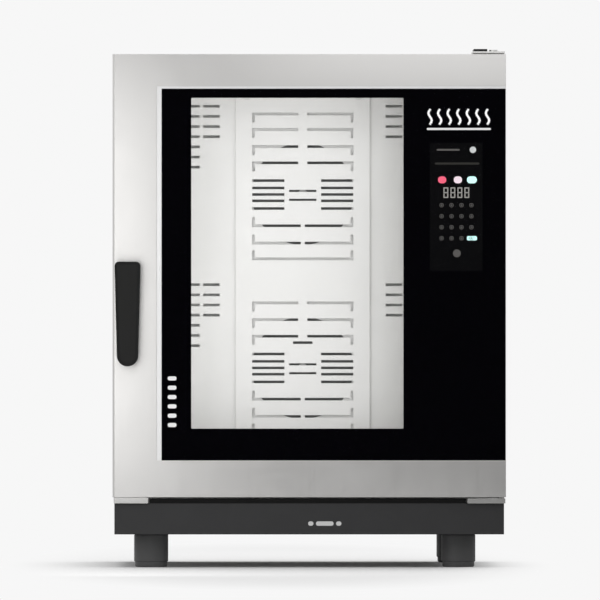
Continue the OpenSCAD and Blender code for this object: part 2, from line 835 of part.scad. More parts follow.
// ---- Door ----
module door_skin() {
    x = [-half_w, half_w];
    module outline(g, r) {
        rect([x[0] + g + r, x[1] - g], [front_y + g, front_y + skin_d]);
        rect([x[0] + g, x[0] + g + r + 1], [front_y + g + r, front_y + skin_d]);
        translate([x[0] + g + r, front_y + g + r]) circle(r);
    }
    color("lightgray") difference() {
        translate([0, 0, door_z]) linear_extrude(door_h) outline(0, edge_r);
        translate([0, 0, door_z + sheet]) linear_extrude(door_h - 2 * sheet) union() {
            outline(sheet, edge_r - sheet);
            rect([x[0] + sheet, x[1] - sheet], [front_y + skin_d - 1, front_y + skin_d + 1]);
        }
        block([glass_x - trim_w, x[1] + 1], [front_y - 1, front_y + mask_back],
            [glass_z[0], glass_z[1] + trim_top]);
        rod_y(latch_x, [front_y - 1, front_y + sheet + 1], latch_z, spindle_r + 4);
        for (z = [door_z, door_top - sheet]) rod_z(hinge_x, hinge_y, [z - 1, z + sheet + 1], pin_r + 3.2);
    }
}

module glass_trim() {
    t = 5;
    color("white") {
        block([glass_x - trim_w, glass_x - 0.2], [front_y + 0.4, front_y + t], [glass_z[0], glass_z[1] + trim_top]);
        block([glass_x - 0.2, half_w - 0.5], [front_y + 0.4, front_y + t], [glass_z[1] + 0.2, glass_z[1] + trim_top]);
    }
}

module outer_glass() {
    color("#101018", 0.4) facing(front_y, glass_t) round_rect([glass_x, half_w], glass_z, 2);
}

module glass_mask() {
    color("#050508") facing(front_y + glass_t, mask_t) difference() {
        rect([glass_x, half_w - 0.5], glass_z);
        round_rect(win_x, win_z, 2);
        rect([key_x, key_x + key_w], [key_z, key_z + key_h]);
    }
}

module door_core() {
    bay_x = [key_x - 4, min(key_x + key_w + 4, half_w - 25)];
    bay_z = [key_z - bay_margin, key_z + key_h + bay_margin];
    color("#404040") difference() {
        block(core_x, [front_y + sheet, front_y + skin_d], core_z);
        block([glass_x - trim_w, half_w + 1], [front_y, front_y + mask_back],
            [glass_z[0], glass_z[1] + trim_top]);
        block(see_x, [front_y, front_y + skin_d + 1], see_z);
        block(bay_x, [front_y, front_y + skin_d - 2], bay_z);
    }
}

module inner_frame() {
    pane_x = grow(see_x, pane_lip);
    pane_z = grow(see_z, pane_lip);
    y = [front_y + skin_d, front_y + door_t];
    color("silver") {
        difference() {
            block(frame_x, y, frame_z);
            block(grow(frame_x, -sheet), [y[0] - 1, y[1] - sheet], grow(frame_z, -sheet));
            block(pane_x, [y[0] - 1, y[1] + 1], pane_z);
        }
        difference() {
            block(grow(pane_x, sheet), y, grow(pane_z, sheet));
            block(pane_x, grow(y, 1), pane_z);
        }
        difference() {
            block(grow(pane_x, 0.5), [y[1] - inner_glass_t - 5, y[1] - inner_glass_t - 1],
                grow(pane_z, 0.5));
            block(see_x, grow(y, 1), see_z);
        }
    }
}

module inner_glass() {
    pane_x = grow(see_x, pane_lip - fit_gap);
    pane_z = grow(see_z, pane_lip - fit_gap);
    color("#a0b0b0", 0.3) facing(front_y + door_t - inner_glass_t - 1, inner_glass_t)
        round_rect(pane_x, pane_z, 3);
}

module glass_clips() {
    y = front_y + door_t;
    color("gray") for (s = [0, 1], z = [see_z[0] + 60, see_z[1] - 60]) {
        edge = s == 0 ? see_x[0] - pane_lip : see_x[1] + pane_lip;
        x = s == 0 ? [edge - 14, edge + 8] : [edge - 8, edge + 14];
        block(x, [y, y + sheet], [z - 8, z + 8]);
        block(s == 0 ? [edge + 1, edge + 8] : [edge - 8, edge - 1], [y - 1, y], [z - 8, z + 8]);
    }
}

module lamp_strips() {
    color("white") for (x = [[see_x[0], see_x[0] + 9], [see_x[1] - 9, see_x[1]]])
        block(x, [front_y + mask_back + 3, front_y + skin_d - 3], grow(see_z, -25));
}

module touch_panel() {
    x = [key_x + fit_gap, key_x + key_w - fit_gap];
    z = [key_z + fit_gap, key_z + key_h - fit_gap];
    color("#0a0a0e") {
        block(x, [front_y + glass_t + 0.3, front_y + mask_back + 2], z);
        block(grow(x, 3), [front_y + mask_back, front_y + mask_back + 2], grow(z, bay_margin - 4));
    }
}

module hinge_bushes() {
    color("#303030") for (s = [0, 1]) difference() {
        union() {
            rod_z(hinge_x, hinge_y, s == 0 ? [door_z, door_z + 20] : [door_top - 20, door_top], pin_r + 3);
            rod_z(hinge_x, hinge_y, s == 0 ? [door_z - 1.5, door_z] : [door_top, door_top + 1], pin_r + 5);
        }
        rod_z(hinge_x, hinge_y, s == 0 ? [door_z - 3, door_z + 21] : [door_top - 21, door_top + 2],
            pin_r + run_gap);
    }
}

module latch_housing() {
    color("gray") difference() {
        block([-half_w + 8, core_x[0]], [front_y + sheet, front_y + skin_d], [latch_z - 26, latch_z + 26]);
        rod_y(latch_x, [front_y, front_y + skin_d + 1], latch_z, spindle_r + run_gap);
    }
}

// ---- Handle ----
module handle_grip() {
    top = grip_z[1];
    low = grip_z[0];
    wt = grip_w_top / 2;
    we = grip_w_end / 2;
    corner = 8.5;
    root_h = 52 + finger_gap;
    front = front_y - handle_proj;
    module outline() {
        polygon(concat(
            [for (a = [180:9:360]) [we * cos(a), low + we + we * sin(a)]],
            [for (a = [0:15:90]) [wt - corner + corner * cos(a), top - corner + corner * sin(a)]],
            [for (a = [90:15:180]) [corner - wt + corner * cos(a), top - corner + corner * sin(a)]]));
    }
    color("#2c2c2c") difference() {
        translate([latch_x, 0, 0]) facing(front, handle_proj - fit_gap) outline();
        block([latch_x - wt - 1, latch_x + wt + 1], [front_y - finger_gap, front_y + 1],
            [low - 1, top - root_h]);
        translate([latch_x - wt - 1, front_y, top - root_h]) rotate([0, 90, 0])
            cylinder(r = finger_gap, h = 2 * wt + 2);
        rod_y(latch_x, [front_y - 25, front_y + 1], latch_z, spindle_r);
    }
}

module handle_spindle() {
    color("gray") {
        rod_y(latch_x, [front_y - 25, tongue_y + tongue_t], latch_z, spindle_r);
        rod_y(latch_x, [tongue_y, tongue_y + tongue_t], latch_z, spindle_r + 5);
        block([latch_x - 7, latch_x + 7], [tongue_y, tongue_y + tongue_t], [latch_z - tongue_l, latch_z]);
    }
}

// ---- Feet ----
// A foot: chamfered sleeve with a narrow pad below, and its threaded stem
module foot(x, y) {
    color("#3c3c3c") {
        translate([x, y, 0]) rotate_extrude() polygon([[0, 0], [foot_r - 4, 0], [foot_r - 2, 3],
            [foot_r - 2, 10], [foot_r, 12], [foot_r, foot_h - fit_gap - 2],
            [foot_r - 2, foot_h - fit_gap], [0, foot_h - fit_gap]]);
        rod_z(x, y, [foot_h - 2, foot_h + boss_h - 4], stem_r);
    }
}

module foot_front_left() {
    foot(foot_x[0], foot_y[0]);
}

module foot_front_right() {
    foot(foot_x[1], foot_y[0]);
}

module foot_rear_left() {
    foot(foot_x[0], foot_y[1]);
}

module foot_rear_right() {
    foot(foot_x[1], foot_y[1]);
}

base_frame();
drip_channel();
chassis_floor();
left_panel();
right_panel();
top_cover();
rear_panel();
front_fascia();
rear_bulkhead();
cavity_shell();
cavity_insulation();
door_gasket();
fan_baffle();
outlet_wings();
inlet_plate();
baffle_fasteners();
ring_heaters();
fan_motors();
fan_shaft_upper();
fan_shaft_lower();
fan_wheel_upper();
fan_wheel_lower();
tray_rack_left();
tray_rack_right();
rack_studs();
drain_strainer();
drain_pipe();
steam_injector();
water_valve();
flues();
power_board();
cable_gland();
earth_stud();
cooling_fan_housing();
cooling_fan_rotor();
upper_hinge_bracket();
lower_hinge_bracket();
hinge_pins();
hinge_cap();
door_rest_plate();
latch_keeper();
panel_screws();
door_skin();
glass_trim();
outer_glass();
glass_mask();
door_core();
inner_frame();
inner_glass();
glass_clips();
lamp_strips();
touch_panel();
hinge_bushes();
latch_housing();
handle_grip();
handle_spindle();
foot_front_left();
foot_front_right();
foot_rear_left();
foot_rear_right();
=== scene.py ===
"""The looks of a combi steamer oven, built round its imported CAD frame.

Every length is in metres in the row frame: +Z up, +X to the right of a person who faces the door,
and +Y from the door to the rear.
"""

import json
import logging
import math
from dataclasses import dataclass
from enum import Enum
from typing import Callable, Iterable, Optional, Sequence

import bmesh
import bpy
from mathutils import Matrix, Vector

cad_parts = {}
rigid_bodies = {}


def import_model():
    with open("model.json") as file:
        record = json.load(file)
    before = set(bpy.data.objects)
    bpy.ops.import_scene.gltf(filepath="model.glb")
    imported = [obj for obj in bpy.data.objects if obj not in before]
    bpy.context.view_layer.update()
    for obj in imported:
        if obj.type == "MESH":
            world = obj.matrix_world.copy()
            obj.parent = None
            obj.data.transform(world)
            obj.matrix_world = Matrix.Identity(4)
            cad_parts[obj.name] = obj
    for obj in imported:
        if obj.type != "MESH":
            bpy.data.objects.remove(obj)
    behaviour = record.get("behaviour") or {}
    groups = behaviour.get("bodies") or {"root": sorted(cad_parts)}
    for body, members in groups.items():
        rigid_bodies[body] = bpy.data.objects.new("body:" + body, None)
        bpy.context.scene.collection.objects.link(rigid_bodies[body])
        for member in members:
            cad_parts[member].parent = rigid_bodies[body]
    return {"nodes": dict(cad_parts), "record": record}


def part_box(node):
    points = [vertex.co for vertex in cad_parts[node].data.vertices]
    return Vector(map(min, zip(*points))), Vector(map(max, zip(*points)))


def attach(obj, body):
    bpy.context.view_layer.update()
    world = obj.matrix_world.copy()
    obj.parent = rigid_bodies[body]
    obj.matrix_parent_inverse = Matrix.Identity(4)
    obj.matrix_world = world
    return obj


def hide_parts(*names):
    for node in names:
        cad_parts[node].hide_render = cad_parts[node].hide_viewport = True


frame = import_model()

LOG = logging.getLogger("combi_steamer")
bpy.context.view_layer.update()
Box = tuple[Vector, Vector]
Pair = tuple[float, float]
Triple = tuple[float, float, float]


class Axis(Enum):
    """The direction in which a sheet of steel was brushed."""

    X = 0
    Y = 1
    Z = 2


# ---------------------------------------------------------------- shader groups


def new_group(name: str, inputs: dict[str, tuple[str, object]],
              outputs: dict[str, str]) -> bpy.types.NodeTree:
    """Makes an empty shader node group with named sockets.

    Args:
        name: The group's name.
        inputs: Socket name to its type and default value.
        outputs: Socket name to its type.

    Returns:
        The group, holding its input and output nodes.
    """
    tree = bpy.data.node_groups.new(name, "ShaderNodeTree")
    for label, (kind, value) in inputs.items():
        socket = tree.interface.new_socket(label, in_out="INPUT", socket_type=kind)
        socket.default_value = value
    for label, kind in outputs.items():
        tree.interface.new_socket(label, in_out="OUTPUT", socket_type=kind)
    tree.nodes.new("NodeGroupInput").name = "in"
    tree.nodes.new("NodeGroupOutput").name = "out"
    return tree


def put(tree: bpy.types.NodeTree, kind: str, **values: object) -> bpy.types.Node:
    """Adds a node and sets its properties and the values of its inputs.

    Args:
        tree: The tree that gets the node.
        kind: The node's type.
        **values: Property names, or input names with spaces written as underscores.

    Returns:
        The new node.
    """
    node = tree.nodes.new(kind)
    for key, value in values.items():
        if hasattr(node, key):
            setattr(node, key, value)
        else:
            node.inputs[key.replace("_", " ")].default_value = value
    return node


def maths(tree: bpy.types.NodeTree, operation: str, first: object, second: object = 0.0,
          clamp: bool = False) -> bpy.types.NodeSocket:
    """Adds a maths node.

    Args:
        tree: The tree that gets the node.
        operation: The operation's name.
        first: A socket or a number.
        second: A socket or a number.
        clamp: Whether the result is kept between 0 and 1.

    Returns:
        The node's result.
    """
    node = tree.nodes.new("ShaderNodeMath")
    node.operation = operation
    node.use_clamp = clamp
    for i, value in enumerate((first, second)):
        if isinstance(value, bpy.types.NodeSocket):
            tree.links.new(value, node.inputs[i])
        else:
            node.inputs[i].default_value = value
    return node.outputs[0]


def grain_group() -> bpy.types.NodeTree:
    """Makes the group for fine directional grain, as brushing leaves it.

    Returns:
        The group, whose outputs are Streak and Cloud, each about 0 to 1.
    """
    tree = new_group(
        "brushed_grain",
        {"Stretch": ("NodeSocketVector", (900.0, 900.0, 6.0)), "Cloud Size": ("NodeSocketFloat", 5.0)},
        {"Streak": "NodeSocketFloat", "Cloud": "NodeSocketFloat"},
    )
    source, target = tree.nodes["in"], tree.nodes["out"]
    coords = put(tree, "ShaderNodeTexCoord")
    mapping = put(tree, "ShaderNodeMapping")
    streak = put(tree, "ShaderNodeTexNoise", Scale=1.0, Detail=3.0, Roughness=0.6)
    cloud = put(tree, "ShaderNodeTexNoise", Detail=3.0, Roughness=0.55)
    tree.links.new(coords.outputs["Object"], mapping.inputs["Vector"])
    tree.links.new(source.outputs["Stretch"], mapping.inputs["Scale"])
    tree.links.new(mapping.outputs["Vector"], streak.inputs["Vector"])
    tree.links.new(coords.outputs["Object"], cloud.inputs["Vector"])
    tree.links.new(source.outputs["Cloud Size"], cloud.inputs["Scale"])
    tree.links.new(streak.outputs["Fac"], target.inputs["Streak"])
    tree.links.new(cloud.outputs["Fac"], target.inputs["Cloud"])
    return tree


def wear_group() -> bpy.types.NodeTree:
    """Makes the group for rubbed edges.

    Returns:
        The group, whose outputs are Worn, a mask of the outer edges, and Normal, the softened normal.
    """
    tree = new_group(
        "rubbed_edges",
        {"Amount": ("NodeSocketFloat", 0.5), "Breakup": ("NodeSocketFloat", 60.0)},
        {"Worn": "NodeSocketFloat", "Normal": "NodeSocketVector"},
    )
    source, target = tree.nodes["in"], tree.nodes["out"]
    soft = put(tree, "ShaderNodeBevel", samples=4, Radius=0.0012)
    flat = put(tree, "ShaderNodeNewGeometry")
    dot = put(tree, "ShaderNodeVectorMath", operation="DOT_PRODUCT")
    coords = put(tree, "ShaderNodeTexCoord")
    patch = put(tree, "ShaderNodeTexNoise", Detail=4.0, Roughness=0.65)
    tree.links.new(soft.outputs["Normal"], dot.inputs[0])
    tree.links.new(flat.outputs["Normal"], dot.inputs[1])
    tree.links.new(coords.outputs["Object"], patch.inputs["Vector"])
    tree.links.new(source.outputs["Breakup"], patch.inputs["Scale"])
    edge = maths(tree, "MULTIPLY", maths(tree, "SUBTRACT", 1.0, dot.outputs["Value"]), 6.0, True)
    broken = maths(tree, "MULTIPLY", edge, maths(tree, "MULTIPLY", patch.outputs["Fac"], 1.6))
    worn = maths(tree, "MULTIPLY", broken, source.outputs["Amount"], True)
    tree.links.new(worn, target.inputs["Worn"])
    tree.links.new(soft.outputs["Normal"], target.inputs["Normal"])
    return tree


def handling_group() -> bpy.types.NodeTree:
    """Makes the group for the faint marks of hands, cloths and dust.

    Returns:
        The group, whose outputs are Smudge and Dust, each about 0 to 1.
    """
    tree = new_group(
        "hand_marks",
        {"Size": ("NodeSocketFloat", 9.0)},
        {"Smudge": "NodeSocketFloat", "Dust": "NodeSocketFloat"},
    )
    source, target = tree.nodes["in"], tree.nodes["out"]
    coords = put(tree, "ShaderNodeTexCoord")
    wipe = put(tree, "ShaderNodeTexNoise", Detail=6.0, Roughness=0.7, Distortion=1.4)
    speck = put(tree, "ShaderNodeTexNoise", Scale=850.0, Detail=2.0)
    shape = put(tree, "ShaderNodeMapRange", From_Min=0.42, From_Max=0.75)
    for node in (wipe, speck):
        tree.links.new(coords.outputs["Object"], node.inputs["Vector"])
    tree.links.new(source.outputs["Size"], wipe.inputs["Scale"])
    tree.links.new(wipe.outputs["Fac"], shape.inputs["Value"])
    dust = maths(tree, "POWER", speck.outputs["Fac"], 3.0, True)
    tree.links.new(shape.outputs["Result"], target.inputs["Smudge"])
    tree.links.new(dust, target.inputs["Dust"])
    return tree


GRAIN = grain_group()
WEAR = wear_group()
MARKS = handling_group()


# ---------------------------------------------------------------- finishes


class Finish:
    """A material under construction: its tree, its shader and the shared groups that it uses."""

    def __init__(self, name: str) -> None:
        """Starts a material that holds only a Principled BSDF."""
        self.material = bpy.data.materials.new(name)
        self.material.use_nodes = True
        self.tree = self.material.node_tree
        self.shader = self.tree.nodes["Principled BSDF"]

    def set(self, **values: object) -> None:
        """Sets constants on the shader, with spaces in socket names written as underscores."""
        for key, value in values.items():
            self.shader.inputs[key.replace("_", " ")].default_value = value

    def group(self, tree: bpy.types.NodeTree, **values: object) -> bpy.types.Node:
        """Places a shared group and sets its inputs."""
        node = self.tree.nodes.new("ShaderNodeGroup")
        node.node_tree = tree
        for key, value in values.items():
            node.inputs[key.replace("_", " ")].default_value = value
        return node

    def link(self, output: bpy.types.NodeSocket, name: str) -> None:
        """Links a varying value to one of the shader's sockets."""
        self.tree.links.new(output, self.shader.inputs[name])

    def blend(self, factor: bpy.types.NodeSocket, low: Triple, high: Triple) -> bpy.types.NodeSocket:
        """Mixes two colours.

        Args:
            factor: 0 for low and 1 for high.
            low: The first colour.
            high: The second colour.

        Returns:
            The mixed colour.
        """
        node = self.tree.nodes.new("ShaderNodeMix")
        node.data_type = "RGBA"
        node.inputs["A"].default_value = (*low, 1.0)
        node.inputs["B"].default_value = (*high, 1.0)
        self.tree.links.new(factor, node.inputs["Factor"])
        return node.outputs["Result"]

    def rub(self, base: bpy.types.NodeSocket, worn: bpy.types.NodeSocket, color: Triple) -> None:
        """Feeds the shader's colour with a base that turns to another colour where edges are rubbed."""
        mix = self.tree.nodes.new("ShaderNodeMix")
        mix.data_type = "RGBA"
        mix.inputs["B"].default_value = (*color, 1.0)
        self.tree.links.new(worn, mix.inputs["Factor"])
        self.tree.links.new(base, mix.inputs["A"])
        self.link(mix.outputs["Result"], "Base Color")

    def between(self, factor: bpy.types.NodeSocket, low: float, high: float) -> bpy.types.NodeSocket:
        """Maps a value of 0 to 1 to a range."""
        node = put(self.tree, "ShaderNodeMapRange", To_Min=low, To_Max=high)
        self.tree.links.new(factor, node.inputs["Value"])
        return node.outputs["Result"]

    def bump(self, height: bpy.types.NodeSocket, distance: float, strength: float = 1.0,
             normal: Optional[bpy.types.NodeSocket] = None) -> None:
        """Feeds a height to the shader's normal.

        Args:
            height: The height, about 0 to 1.
            distance: The relief's depth in metres.
            strength: How strongly it shows.
            normal: The normal under the relief, if it isn't the mesh's own.
        """
        node = put(self.tree, "ShaderNodeBump", Distance=distance, Strength=strength)
        self.tree.links.new(height, node.inputs["Height"])
        if normal is not None:
            self.tree.links.new(normal, node.inputs["Normal"])
        self.link(node.outputs["Normal"], "Normal")


def shade(color: Triple, factor: float) -> Triple:
    """Returns a colour made lighter or darker by a factor, kept at or under 1."""
    return tuple(min(1.0, c * factor) for c in color)


@dataclass(frozen=True)
class Steel:
    """Brushed or polished stainless steel."""

    name: str
    color: Triple
    roughness: float = 0.3
    brushed: Axis = Axis.Z
    relief: float = 0.00001
    spread: float = 0.06

    def build(self) -> bpy.types.Material:
        """Returns the material."""
        work = Finish(self.name)
        stretch = [700.0, 700.0, 700.0]
        stretch[self.brushed.value] = 7.0
        grain = work.group(GRAIN, Stretch=tuple(stretch), Cloud_Size=3.5)
        marks = work.group(MARKS, Size=6.0)
        wear = work.group(WEAR, Amount=0.35, Breakup=40.0)
        base = work.blend(grain.outputs["Cloud"], shade(self.color, 0.96), shade(self.color, 1.03))
        work.rub(base, wear.outputs["Worn"], shade(self.color, 1.12))
        streak = work.between(grain.outputs["Streak"], self.roughness - self.spread,
                              self.roughness + self.spread)
        smudge = work.between(marks.outputs["Smudge"], 0.0, 0.05)
        work.link(maths(work.tree, "ADD", streak, smudge), "Roughness")
        work.bump(grain.outputs["Streak"], self.relief, 0.6, wear.outputs["Normal"])
        work.set(Metallic=1.0)
        return work.material


@dataclass(frozen=True)
class Moulded:
    """Moulded plastic, powder coat, rubber or wool: a rough surface with a fine grain of its own."""

    name: str
    color: Triple
    roughness: float = 0.5
    grain: float = 1400.0
    relief: float = 0.00006
    wear: float = 0.25
    worn: float = 1.8

    def build(self) -> bpy.types.Material:
        """Returns the material."""
        work = Finish(self.name)
        marks = work.group(MARKS, Size=14.0)
        wear = work.group(WEAR, Amount=self.wear, Breakup=90.0)
        coords = put(work.tree, "ShaderNodeTexCoord")
        pebble = put(work.tree, "ShaderNodeTexNoise", Scale=self.grain, Detail=2.0, Roughness=0.5)
        work.tree.links.new(coords.outputs["Object"], pebble.inputs["Vector"])
        base = work.blend(marks.outputs["Smudge"], self.color, shade(self.color, 1.12))
        work.rub(base, wear.outputs["Worn"], shade(self.color, self.worn))
        work.link(work.between(marks.outputs["Smudge"], self.roughness, self.roughness + 0.08), "Roughness")
        work.bump(pebble.outputs["Fac"], self.relief, 0.7, wear.outputs["Normal"])
        work.set(Specular_IOR_Level=0.22)
        return work.material


@dataclass(frozen=True)
class Pane:
    """Clear or tinted glass that lets most light straight through."""

    name: str
    color: Triple
    opacity: float = 0.1

    def build(self) -> bpy.types.Material:
        """Returns the material."""
        work = Finish(self.name)
        marks = work.group(MARKS, Size=5.0)
        work.link(work.between(marks.outputs["Smudge"], 0.0, 0.03), "Roughness")
        work.link(work.between(marks.outputs["Dust"], self.opacity, self.opacity * 1.25), "Alpha")
        work.set(Base_Color=(*self.color, 1.0), IOR=1.5)
        return work.material


@dataclass(frozen=True)
class Gloss:
    """A smooth dark layer such as enamel printed behind glass."""

    name: str
    color: Triple
    roughness: float = 0.12

    def build(self) -> bpy.types.Material:
        """Returns the material."""
        work = Finish(self.name)
        marks = work.group(MARKS, Size=7.0)
        work.link(work.blend(marks.outputs["Dust"], self.color, shade(self.color, 1.3)), "Base Color")
        work.link(work.between(marks.outputs["Smudge"], self.roughness, self.roughness + 0.05), "Roughness")
        work.set(Specular_IOR_Level=0.0)
        return work.material


@dataclass(frozen=True)
class Glow:
    """A lit lamp, figure or mark, and also the faint glow painted on prints that are no lamps."""

    name: str
    color: Triple
    strength: float = 1.0

    def build(self) -> bpy.types.Material:
        """Returns the material."""
        work = Finish(self.name)
        marks = work.group(MARKS, Size=30.0)
        tone = work.blend(marks.outputs["Smudge"], shade(self.color, 0.92), self.color)
        work.link(tone, "Base Color")
        work.link(tone, "Emission Color")
        work.link(work.between(marks.outputs["Dust"], 0.45, 0.6), "Roughness")
        work.set(Emission_Strength=self.strength)
        return work.material


SLOT_FINISHES = {
    "brushed_steel": Steel("brushed_steel", (0.83, 0.82, 0.805), 0.34),
    "panel_steel": Steel("panel_steel", (0.72, 0.715, 0.70), 0.33, Axis.Z),
    "cavity_steel": Steel("cavity_steel", (0.88, 0.875, 0.86), 0.36, Axis.X),
    # trim_steel is steel made lighter than the door's: partly a painted highlight on the bent lip round the
    # pane.
    "trim_steel": Steel("trim_steel", (0.97, 0.97, 0.97), 0.42, Axis.Z),
    "bracket_steel": Steel("bracket_steel", (0.74, 0.735, 0.72), 0.3, Axis.X),
    # dark_steel dresses the fan wheel behind the baffle; its dark is partly heat tint and partly painted
    # shade behind the baffle.
    "dark_steel": Steel("dark_steel", (0.16, 0.155, 0.15), 0.42, Axis.Y),
    "heater_steel": Steel("heater_steel", (0.25, 0.22, 0.20), 0.45, Axis.Y),
    "brass": Steel("brass", (0.75, 0.52, 0.24), 0.3, Axis.Y),
    "base_paint": Moulded("base_paint", (0.038, 0.038, 0.039), 0.5, 1100.0),
    "foot_plastic": Moulded("foot_plastic", (0.09, 0.09, 0.091), 0.45, 1500.0),
    "handle_plastic": Moulded("handle_plastic", (0.004, 0.004, 0.004), 0.42, 1600.0),
    "black_plastic": Moulded("black_plastic", (0.012, 0.012, 0.013), 0.4, 1500.0),
    "core_foam": Moulded("core_foam", (0.03, 0.03, 0.03), 0.8, 500.0, 0.0002),
    "seal_rubber": Moulded("seal_rubber", (0.022, 0.022, 0.023), 0.55, 900.0),
    "mineral_wool": Moulded("mineral_wool", (0.50, 0.42, 0.22), 0.95, 240.0, 0.002, 0.0),
    "motor_grey": Moulded("motor_grey", (0.14, 0.16, 0.19), 0.5, 700.0, 0.0002),
    "board_green": Moulded("board_green", (0.02, 0.13, 0.05), 0.4, 300.0),
    "outer_glass": Pane("outer_glass", (0.02, 0.02, 0.025), 0.07),
    "inner_glass": Pane("inner_glass", (0.75, 0.8, 0.78), 0.05),
    "black_print": Gloss("black_print", (0.0008, 0.0006, 0.0014)),
    "touch_black": Gloss("touch_black", (0.004, 0.004, 0.004)),
    "lamp_white": Glow("lamp_white", (1.0, 0.98, 0.94), 2.0),
}
MATERIALS: dict[str, bpy.types.Material] = {}


# ---------------------------------------------------------------- meshes


def as_piece(name: str, mesh: bpy.types.Mesh,
             material: Optional[bpy.types.Material] = None) -> bpy.types.Object:
    """Puts a mesh into the scene at the origin.

    Args:
        name: The object's name.
        mesh: Its mesh, with its place in its points.
        material: Its only material, if it isn't on the mesh already.

    Returns:
        The new object.
    """
    piece = bpy.data.objects.new(name, mesh)
    bpy.context.scene.collection.objects.link(piece)
    if material is not None:
        mesh.materials.clear()
        mesh.materials.append(material)
    return piece


def mesh_from(name: str, draw: Callable[[bmesh.types.BMesh], None], smooth: float = 35.0) -> bpy.types.Mesh:
    """Makes a mesh with a drawing function and gives it clean outward faces.

    Args:
        name: The mesh's name.
        draw: Fills an empty bmesh.
        smooth: Edges flatter than this many degrees are shaded smooth.

    Returns:
        The mesh.
    """
    work = bmesh.new()
    draw(work)
    bmesh.ops.remove_doubles(work, verts=work.verts, dist=1e-6)
    bmesh.ops.recalc_face_normals(work, faces=work.faces)
    mark_edges(work, smooth)
    mesh = bpy.data.meshes.new(name)
    work.to_mesh(mesh)
    work.free()
    return mesh


def mark_edges(work: bmesh.types.BMesh, angle: float) -> None:
    """Shades faces smooth and keeps edges sharper than an angle in degrees crisp."""
    limit = math.radians(angle)
    for face in work.faces:
        face.smooth = True
    for edge in work.edges:
        edge.smooth = len(edge.link_faces) == 2 and edge.calc_face_angle(math.pi) < limit


def add_block(work: bmesh.types.BMesh, low: Sequence[float], high: Sequence[float], bevel: float = 0.0,
              segments: int = 2) -> None:
    """Adds a box, with its edges rounded if a bevel is given."""
    made = bmesh.ops.create_cube(work, size=1.0)["verts"]
    size = Vector(high) - Vector(low)
    centre = (Vector(high) + Vector(low)) / 2
    for vert in made:
        vert.co = Vector([vert.co[i] * size[i] for i in range(3)]) + centre
    if bevel > 0:
        edges = list({edge for vert in made for edge in vert.link_edges})
        bmesh.ops.bevel(work, geom=edges, offset=bevel, segments=segments, profile=0.7, affect="EDGES")


def add_turned(work: bmesh.types.BMesh, profile: Sequence[Pair], centre: Sequence[float],
               axis: Triple = (0.0, 0.0, 1.0), steps: int = 48) -> None:
    """Adds a turned shape.

    Args:
        work: The bmesh that gets it.
        profile: Radius and height pairs from end to end; a radius of 0 closes the end.
        centre: The point on the axis at height 0.
        axis: The direction of the height.
        steps: The number of faces round the axis.
    """
    turn = Vector((0, 0, 1)).rotation_difference(Vector(axis)).to_matrix()
    rings = []
    for radius, height in profile:
        count = 1 if radius <= 0 else steps
        ring = []
        for i in range(count):
            angle = 2 * math.pi * i / steps
            point = turn @ Vector((radius * math.cos(angle), radius * math.sin(angle), height))
            ring.append(work.verts.new(point + Vector(centre)))
        rings.append(ring)
    for low, high in zip(rings, rings[1:]):
        for i in range(steps):
            j = (i + 1) % steps
            corners = [low[i % len(low)], low[j % len(low)], high[j % len(high)], high[i % len(high)]]
            unique = list(dict.fromkeys(corners))
            if len(unique) > 2:
                work.faces.new(unique)


def add_plate(work: bmesh.types.BMesh, outline: Sequence[Pair], y: float, depth: float) -> None:
    """Adds an upright plate: an outline in x and z, given depth backwards from y."""
    front = [work.verts.new((x, y, z)) for x, z in outline]
    back = [work.verts.new((x, y + depth, z)) for x, z in outline]
    work.faces.new(front)
    work.faces.new(list(reversed(back)))
    for i in range(len(outline)):
        j = (i + 1) % len(outline)
        work.faces.new((front[i], back[i], back[j], front[j]))


def arc(x: float, z: float, radius: float, angles: Iterable[float],
        tall: Optional[float] = None) -> list[Pair]:
    """Returns points on an arc.

    Args:
        x: The centre's x.
        z: The centre's z.
        radius: The radius.
        angles: The points' angles in degrees, from +X towards +Z.
        tall: The radius along z, where it is another one.

    Returns:
        The points.
    """
    rise = radius if tall is None else tall
    return [(x + radius * math.cos(math.radians(a)), z + rise * math.sin(math.radians(a))) for a in angles]


def rounded(x: Pair, z: Pair, radius: float, steps: int = 6) -> list[Pair]:
    """Returns the outline of a rectangle with round corners."""
    left, right, low, high = x[0] + radius, x[1] - radius, z[0] + radius, z[1] - radius
    points = []
    for cx, cz, start in ((right, high, 0), (left, high, 90), (left, low, 180), (right, low, 270)):
        points += arc(cx, cz, radius, [start + 90 * i / steps for i in range(steps + 1)])
    return points


def softened(node: str, width: float, segments: int = 2, angle: float = 40.0) -> bpy.types.Object:
    """Makes a copy of a CAD node with cleaned faces and rounded edges, which then stands for it.

    Args:
        node: The CAD node's name.
        width: The radius of the edges.
        segments: The number of faces across an edge.
        angle: Edges sharper than this many degrees are rounded.

    Returns:
        The new piece, riding on the node's body.
    """
    source = frame["nodes"][node]
    work = bmesh.new()
    work.from_mesh(source.data)
    bmesh.ops.remove_doubles(work, verts=work.verts, dist=2e-6)
    bmesh.ops.dissolve_limit(work, angle_limit=math.radians(1.0), verts=work.verts, edges=work.edges)
    limit = math.radians(angle)
    edges = [e for e in work.edges if len(e.link_faces) == 2 and e.calc_face_angle(0.0) > limit]
    bmesh.ops.bevel(work, geom=edges, offset=width, segments=segments, profile=0.6, affect="EDGES",
                    clamp_overlap=True)
    bmesh.ops.triangulate(work, faces=[f for f in work.faces if len(f.verts) > 4])
    mark_edges(work, 50.0)
    mesh = bpy.data.meshes.new(f"{node}_finished")
    work.to_mesh(mesh)
    work.free()
    piece = as_piece(f"{node}_finished", mesh, material_of(node))
    weigh_normals(piece)
    settle(piece, BODY_OF[node], SLOT_OF[node], node)
    return piece


